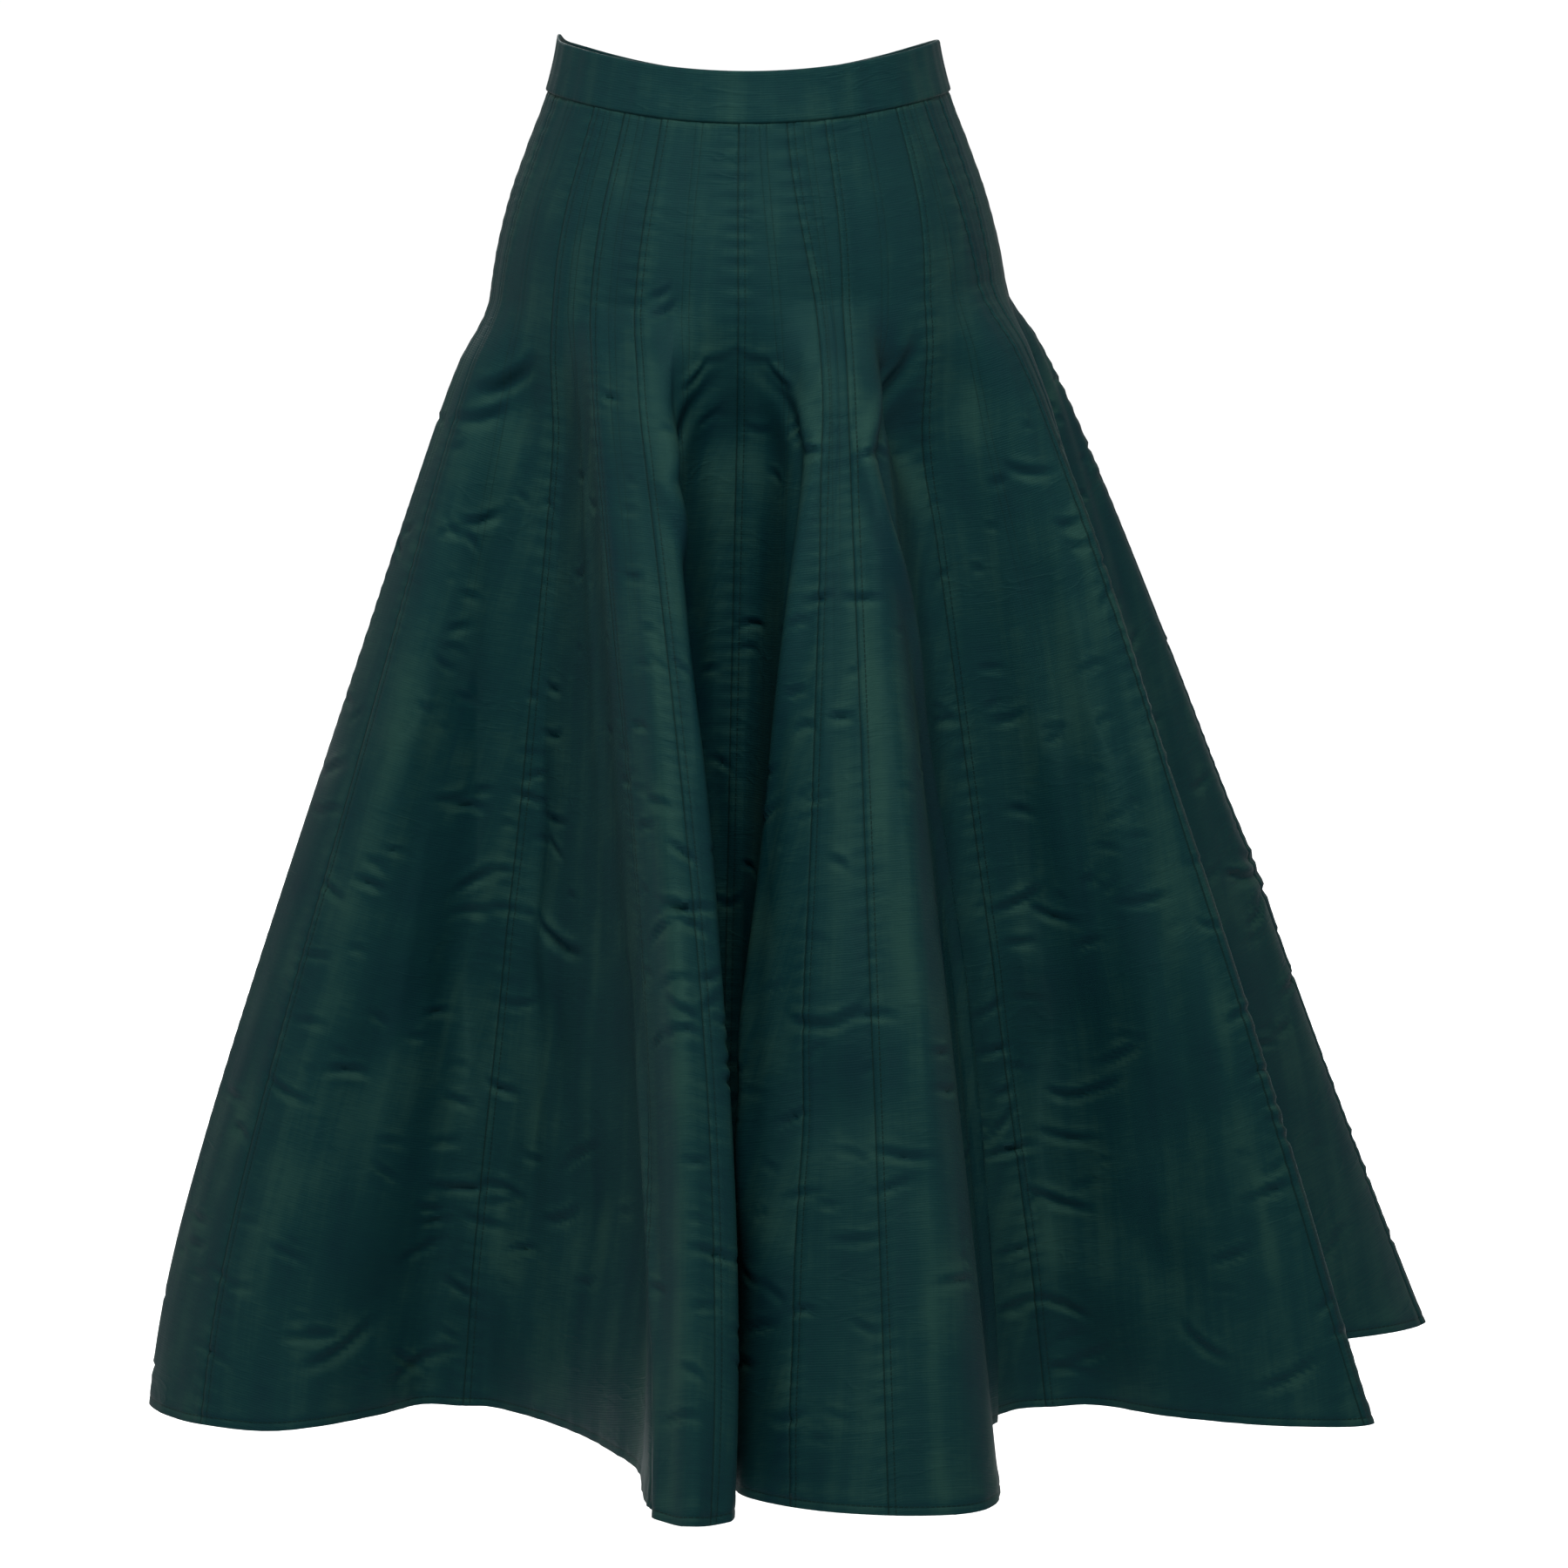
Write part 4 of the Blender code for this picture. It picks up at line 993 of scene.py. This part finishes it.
# The point of the section that the strip's length is measured along.
BAND_FACE = 6
end_turn = math.degrees(BAND_END_GAP / 2.0 / BODY[1][1])
vertices, measures = [], {"across": [], "down": [], "seam": [], "hem": []}
around = 0.0
previous = None
for column in range(BAND_COLUMNS + 1):
    angle = blend(180.0 + end_turn, 540.0 - end_turn, column / BAND_COLUMNS)
    away = (angle % 360.0 - CORNER_ANGLE) / CORNER_SPREAD
    tall = BAND_HEIGHT + CORNER_RISE * math.exp(-away * away)
    wave = BAND_WAVES[0] * math.sin(angle * 0.31) + BAND_WAVES[1] * math.sin(angle * 0.83 + 1.0)
    pucker = BAND_PUCKER * math.sin(angle * 2.9 + 0.8 * math.sin(angle * 0.47))
    half = BAND_CLOTH / 2.0
    for share, out in BAND_SECTION:
        low = math.exp(-(share / BAND_PUCKER_SHARE) ** 2)
        proud = BAND_CLOTH - SOLID_CLOTH - half + half * out + (wave + pucker * low if out > 0.0 else 0.0)
        point, _ = body_frame(angle, SOLID_GAP + tall * share, proud)
        vertices.append(point.tolist())
        measures["down"].append(tall * (1.0 - share))
        measures["seam"].append(SEAM_AWAY)
        measures["hem"].append(HEM_AWAY)
    here = np.array(vertices[-len(BAND_SECTION) + BAND_FACE])
    if previous is not None:
        around += float(np.linalg.norm(here - previous))
    previous = here
    measures["across"] += [around] * len(BAND_SECTION)
band = add_mesh("band", vertices, ring_faces(BAND_COLUMNS + 1, len(BAND_SECTION), inward=True))
band.data.set_sharp_from_angle(angle=math.radians(60))
for label, values in measures.items():
    add_measure(band, label, values)
add_measure(band, "piece", [BAND_PIECE] * len(vertices))
band.data.materials.append(FAILLE)
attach(band, "skirt")
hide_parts("waistband")

# ---- Concealed zip
# A closed nylon coil zip in the centre back seam, on two woven tapes pressed against the inside of the cloth.
# The coil is one continuous filament, sewn to the tapes' edges; only the slider and its pull show outside.
ZIP_TOP = 0.0285
TAPE_HALF = 0.0120
TAPE_CLOTH = 0.0006
TAPE_ROWS = 60
# The tape lies a hair's breadth off the cloth, and ripples as much at its edges.
TAPE_AWAY = 0.00011
TAPE_RIPPLE = 0.00006
TAPE_PLACES = (-TAPE_HALF, -0.0092, -0.0066, -0.0040, -0.0019, 0.0019, 0.0040, 0.0066, 0.0092, TAPE_HALF)


def zip_frame(across, height, depth):
    """A point inside the centre back, from the middle, up and inwards, with the outward normal."""
    half_width = body_section(height)[0]
    return body_frame(180.0 + math.degrees(across / half_width), height, -(SOLID_CLOTH + SOLID_GAP) - depth)


def tape_material():
    """Woven polyester tape: a fine twill with its lines 1 mm apart, dull beside the silk."""
    stops = ((0.0, "061e20"), (1.0, "0d2d2c"))
    material, tree, shader, place, _ = mottled_material(
        "woven_polyester_tape", {"Scale": 900.0, "Detail": 2.0}, stops,
        {"Roughness": 0.72, "Specular IOR Level": 0.30},
    )
    slant = node(tree, "Mapping", {"Rotation": (0.0, math.radians(40), 0.0)}, {0: place})
    weave = node(tree, "TexWave", {"Scale": 320.0, "Distortion": 1.5, "Detail": 2.0}, {0: slant})
    bump = node(tree, "Bump", {"Strength": 0.4, "Distance": 0.0001}, {"Height": weave})
    set_up(tree, shader, None, {"Normal": bump})
    return material


outer, inner = [], []
for row in range(TAPE_ROWS + 1):
    height = blend(ZIP_TOP, RELEASE_Z, row / TAPE_ROWS)
    for across in TAPE_PLACES:
        ripple = TAPE_RIPPLE * math.sin(row * 0.9) * float(smooth(2.0 * abs(across) / TAPE_HALF - 1.0))
        point, normal = zip_frame(across, height, TAPE_AWAY + ripple)
        outer.append(point.tolist())
        inner.append((point - normal * TAPE_CLOTH).tolist())
places = len(TAPE_PLACES)
size = len(outer)
faces = []
for row in range(TAPE_ROWS):
    for column in range(places - 1):
        a, b = row * places + column, (row + 1) * places + column
        faces.append((a, b, b + 1, a + 1))
        faces.append((size + a, size + a + 1, size + b + 1, size + b))
border = list(range(places)) + [row * places + places - 1 for row in range(1, TAPE_ROWS + 1)]
border += [TAPE_ROWS * places + column for column in range(places - 2, -1, -1)]
border += [row * places for row in range(TAPE_ROWS - 1, 0, -1)]
for first, second in zip(border, border[1:] + border[:1]):
    faces.append((first, second, size + second, size + first))
tape = add_mesh("tape", outer + inner, faces)
tape.data.set_sharp_from_angle(angle=math.radians(40))
tape.data.materials.append(tape_material())
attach(tape, "skirt")
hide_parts("zip_tape")


# The coil, as a flattened filament winding from side to side down the middle.
COIL_HALF = 0.001612
COIL_PITCH = 0.0016
COIL_ENDS = (0.002, 0.001)
COIL_LIFT = 0.00050
COIL_THICK = 0.00022
FILAMENT = 0.00030
FILAMENT_SIDES = 5
STEPS_A_TURN = 10
coil_steps = int((ZIP_TOP - COIL_ENDS[0] - RELEASE_Z) / COIL_PITCH) * STEPS_A_TURN
path = []
for step in range(coil_steps + 1):
    height = blend(ZIP_TOP - COIL_ENDS[0], RELEASE_Z + COIL_ENDS[1], step / coil_steps)
    turn = 2.0 * math.pi * step / STEPS_A_TURN
    depth = TAPE_CLOTH + COIL_LIFT - COIL_THICK * math.cos(turn)
    path.append(zip_frame((COIL_HALF - FILAMENT) * math.sin(turn), height, depth))
coil_points = []
for step, (point, normal) in enumerate(path):
    ahead = path[min(step + 1, len(path) - 1)][0] - path[max(step - 1, 0)][0]
    ahead /= np.linalg.norm(ahead)
    side = np.cross(ahead, normal)
    side /= np.linalg.norm(side)
    up = np.cross(side, ahead)
    for k in range(FILAMENT_SIDES):
        turn = 2.0 * math.pi * k / FILAMENT_SIDES
        coil_points.append((point + (side * math.cos(turn) + up * math.sin(turn)) * FILAMENT).tolist())
coil = add_mesh("coil", coil_points, ring_faces(len(path), FILAMENT_SIDES))
# Moulded nylon monofilament, dyed to the cloth: smooth, with a soft gloss and 4 mm patches of dye.
coil.data.materials.append(mottled_material(
    "dyed_nylon", {"Scale": 240.0, "Detail": 2.0}, ((0.0, "061d1f"), (1.0, "0b2929")),
    {"Roughness": 0.32, "IOR": 1.53, "Coat Weight": 0.2},
)[0])
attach(coil, "skirt")

# ---- Slider and pull
# Die-cast zinc, enamelled to match the cloth: a small rounded body with a loop, and a drop-shaped pull.
# The pull's bar turns in the loop; the enamel is smooth, with a soft gloss and a little wear at the edges.
SLIDER_HEIGHT = 0.0215


def enamel_material():
    """Enamel baked on cast zinc: smooth and softly glossy, worn matt in spots 1.4 mm wide."""
    stops = ((0.35, "051c1e"), (0.75, "0c2c2b"))
    material, tree, shader, _, wear_and_painted_light = mottled_material(
        "enamelled_zinc", {"Scale": 700.0, "Detail": 4.0, "Roughness": 0.6}, stops,
        {"Specular IOR Level": 0.22, "Coat Weight": 0.08, "Coat Roughness": 0.12},
    )
    rough = node(tree, "MapRange", {"To Min": 0.28, "To Max": 0.44}, {0: wear_and_painted_light})
    bump = node(tree, "Bump", {"Strength": 0.08, "Distance": 0.00005}, {"Height": wear_and_painted_light})
    set_up(tree, shader, None, {"Roughness": rough, "Normal": bump})
    return material


ENAMEL = enamel_material()
SLIDER_DEPTH = 0.0014
LOOP_SLOT = 0.0016
LOOP_WALL = 0.0006
LOOP_REACH = 0.0029
# How far the loop's middle line lies inside its reach, how deep its feet stand, its bend and half its width.
LOOP_INSET = 0.00035
LOOP_FOOT = 0.0007
LOOP_BEND = 0.0007
LOOP_HALF_WIDE = 0.00058
PULL_BAR = 0.0005
PULL_PLATE = 0.0009
PULL_ARM = 0.0008
# The pull's half width at its neck and how much wider it grows, then the drop to its plate and down that.
PULL_NECK = 0.0018
PULL_GROWS = 0.0007
PULL_DROP = 0.0040
PULL_LENGTH = 0.0135
face_point, face_normal = body_frame(180.0, SLIDER_HEIGHT, BAND_CLOTH - SOLID_CLOTH + SOLID_GAP)
face_up = np.cross([1.0, 0.0, 0.0], face_normal)


def from_slider(x, y, z):
    """A point by its place along the band, out of it and up it, from the middle of the slider's back."""
    return (face_point + np.array([x, 0.0, 0.0]) + face_normal * y + face_up * z).tolist()


def inset_outline(outline, inset):
    """A closed outline moved inwards along its own normals."""
    points = np.array(outline)
    way = np.roll(points, -1, axis=0) - np.roll(points, 1, axis=0)
    way /= np.linalg.norm(way, axis=1)[:, None]
    return points + np.column_stack([-way[:, 1], way[:, 0]]) * inset


def cast_plate(outline, profile, parts):
    """A cast form: its outline, in x and z, drawn in by the profile's insets at the profile's heights."""
    base = len(parts["vertices"])
    for inset, y in profile:
        parts["vertices"] += [from_slider(x, y, z) for x, z in inset_outline(outline, inset)]
    parts["faces"] += ring_faces(len(profile), len(outline), base)


def cast_rod(path, half_wide, half_thick, parts, sides=14):
    """A rod of rounded section along a path of (x, y, z) places, half_wide and half_thick across it."""
    base = len(parts["vertices"])
    path = np.array(path)
    for step, place in enumerate(path):
        ahead = path[min(step + 1, len(path) - 1)] - path[max(step - 1, 0)]
        ahead /= np.linalg.norm(ahead)
        wide = np.array([1.0, 0.0, 0.0]) if abs(ahead[0]) < 0.7 else np.array([0.0, 0.0, 1.0])
        thick = np.cross(ahead, wide)
        end = 0.82 if step in (0, len(path) - 1) else 1.0
        for k in range(sides):
            turn = 2.0 * math.pi * k / sides
            x, y, z = place + end * (wide * half_wide * math.cos(turn) + thick * half_thick * math.sin(turn))
            parts["vertices"].append(from_slider(x, y, z))
    parts["faces"] += ring_faces(len(path), sides, base)


def cast_item(name, parts, body, source_name):
    """An enamelled casting that rides on a body in the place of its solid."""
    item = add_mesh(name, parts["vertices"], parts["faces"])
    shape = bmesh.new()
    shape.from_mesh(item.data)
    bmesh.ops.recalc_face_normals(shape, faces=shape.faces)
    shape.to_mesh(item.data)
    shape.free()
    item.data.set_sharp_from_angle(angle=math.radians(38))
    item.data.materials.append(ENAMEL)
    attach(item, body)
    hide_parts(source_name)


# The body: broad shoulders, a waist and a narrower foot, domed, with the loop standing on it.
body_widths = (
    (0.0046, 0.0009), (0.0044, 0.0016), (0.0038, 0.0021), (0.0028, 0.0022), (0.0014, 0.0020), (0.0, 0.0017),
    (-0.0016, 0.0016), (-0.0030, 0.0017), (-0.0040, 0.0016), (-0.0045, 0.0010),
)
body_outline = [(half, z) for z, half in body_widths] + [(-half, z) for z, half in reversed(body_widths)]
slider = {"vertices": [], "faces": []}
body_profile = [(0.0002, 0.0), (0.0, 0.0003), (0.0, 0.0009), (0.0002, 0.0012), (0.0005, SLIDER_DEPTH)]
cast_plate(body_outline, body_profile, slider)
loop_half = LOOP_REACH - LOOP_INSET
loop_top = SLIDER_DEPTH + LOOP_SLOT + LOOP_WALL / 2.0
loop_path = [(0.0, LOOP_FOOT, -loop_half), (0.0, loop_top - LOOP_BEND, -loop_half)]
for step in range(1, 6):
    turn = 0.5 * math.pi * step / 6
    drop, way = LOOP_BEND * (1.0 - math.sin(turn)), LOOP_BEND * (1.0 - math.cos(turn))
    loop_path.append((0.0, loop_top - drop, -loop_half + way))
loop_path += [(0.0, y, -z) for _, y, z in reversed(loop_path)]
cast_rod(loop_path, LOOP_HALF_WIDE, LOOP_WALL / 2.0, slider)
cast_item("slider_body", slider, "skirt", "zip_slider")

# The pull: a bar through the loop, two arms, and a long drop-shaped plate with a raised rim round it.
pull = {"vertices": [], "faces": []}
pivot = SLIDER_DEPTH + LOOP_SLOT / 2.0
flank = [(PULL_NECK + PULL_GROWS * smooth(k / 6.0), -PULL_DROP - PULL_LENGTH * k / 6.0) for k in range(1, 6)]
foot = PULL_NECK + PULL_GROWS
drop_outline = [(-PULL_NECK, -PULL_DROP), (-0.0012, -0.00385), (0.0012, -0.00385), (PULL_NECK, -PULL_DROP)]
drop_outline += flank
for step in range(13):
    turn = math.pi * step / 12
    drop_outline.append((foot * math.cos(turn), -PULL_DROP - PULL_LENGTH - foot * math.sin(turn)))
drop_outline += [(-x, z) for x, z in reversed(flank)]
half = PULL_PLATE / 2.0
front = [(0.00004, 0.55), (0.00016, 0.92), (0.00030, 1.0), (0.00050, 1.0), (0.00066, 0.80), (0.00080, 0.55)]
plate_profile = [(inset, pivot - half * share) for inset, share in reversed(front)]
plate_profile += [(inset, pivot + half * share) for inset, share in front]
cast_plate(drop_outline[::-1], plate_profile, pull)
for side in (-1.0, 1.0):
    x = side * (PULL_NECK - PULL_ARM / 2.0)
    arm_path = [(x, pivot, z) for z in (0.0, -0.0012, -0.0024, -0.0036, -0.0045)]
    cast_rod(arm_path, PULL_ARM / 2.0, half * 0.98, pull)
bar_path = [(x, pivot, 0.0) for x in (-0.00178, -0.0017, -0.0009, 0.0, 0.0009, 0.0017, 0.00178)]
cast_rod(bar_path, PULL_BAR, PULL_BAR, pull, sides=20)
cast_item("pull_tab", pull, "pull", "zip_pull")

# ---- Floor, light and camera
# A plain pale floor well below the hem and a pale surround, as in a studio. A large soft key light is high in
# front, with weaker ones for the hip, the sides, the front and the back.
FLOOR_Z = -1.12
corners = [(x, y, FLOOR_Z) for x, y in ((-150, -150), (150, -150), (150, 150), (-150, 150))]
floor = add_mesh("floor", corners, [(0, 1, 2, 3)])
# Matt white studio paint with the faint unevenness of a rolled coat, 330 mm wide.
floor.data.materials.append(mottled_material(
    "matt_studio_paint", {"Scale": 3.0, "Detail": 3.0}, ((0.0, "fdfdfd"), (1.0, "ffffff")),
    {"Roughness": 0.9, "Specular IOR Level": 0.1},
)[0])

world = bpy.data.worlds.new("studio")
bpy.context.scene.world = world
world.use_nodes = True
surround = world.node_tree.nodes["Background"]
set_up(world.node_tree, surround, {"Color": linear_colour("ffffff"), "Strength": 1.05})


def softbox(name, place, target, size, power, spread=180.0):
    """A square area light turned to its target, its size in metres, its power in watts."""
    light = bpy.data.lights.new(name, "AREA")
    light.spread = math.radians(spread)
    light.size = size
    light.energy = power
    item = bpy.data.objects.new(name, light)
    item.location = place
    item.rotation_euler = (Vector(target) - Vector(place)).to_track_quat("-Z", "Y").to_euler()
    bpy.context.scene.collection.objects.link(item)


softbox("key_softbox", (0.0, -2.6, 2.6), (0.0, 0.0, -0.30), 1.8, 132.0)
softbox("hip_softbox", (0.0, -0.95, 0.95), (0.0, -0.10, 0.10), 0.6, 5.6, spread=90.0)
softbox("left_softbox", (-4.0, -0.6, 0.8), (0.0, 0.0, -0.40), 1.6, 32.0)
softbox("right_softbox", (4.0, -0.6, 0.8), (0.0, 0.0, -0.40), 1.6, 5.0)
softbox("back_softbox", (-0.9, 3.6, 1.9), (0.0, 0.0, -0.40), 1.8, 125.0)
softbox("front_softbox", (0.0, -4.0, 0.2), (0.0, 0.0, -0.40), 1.6, 19.0)

# The camera's place, pitch and lens are solved from the ellipses of the band and the hem in the photograph.
camera_data = bpy.data.cameras.new("camera")
camera_data.lens = 149.52
camera_data.sensor_width = 36.0
camera_data.clip_end = 600.0
camera = bpy.data.objects.new("camera", camera_data)
camera.location = (0.023, -4.2, 0.2)
camera.rotation_euler = (math.radians(90.0 - 8.8), 0.0, 0.0)
bpy.context.scene.collection.objects.link(camera)
bpy.context.scene.camera = camera
bpy.context.scene.view_settings.view_transform = "Standard"
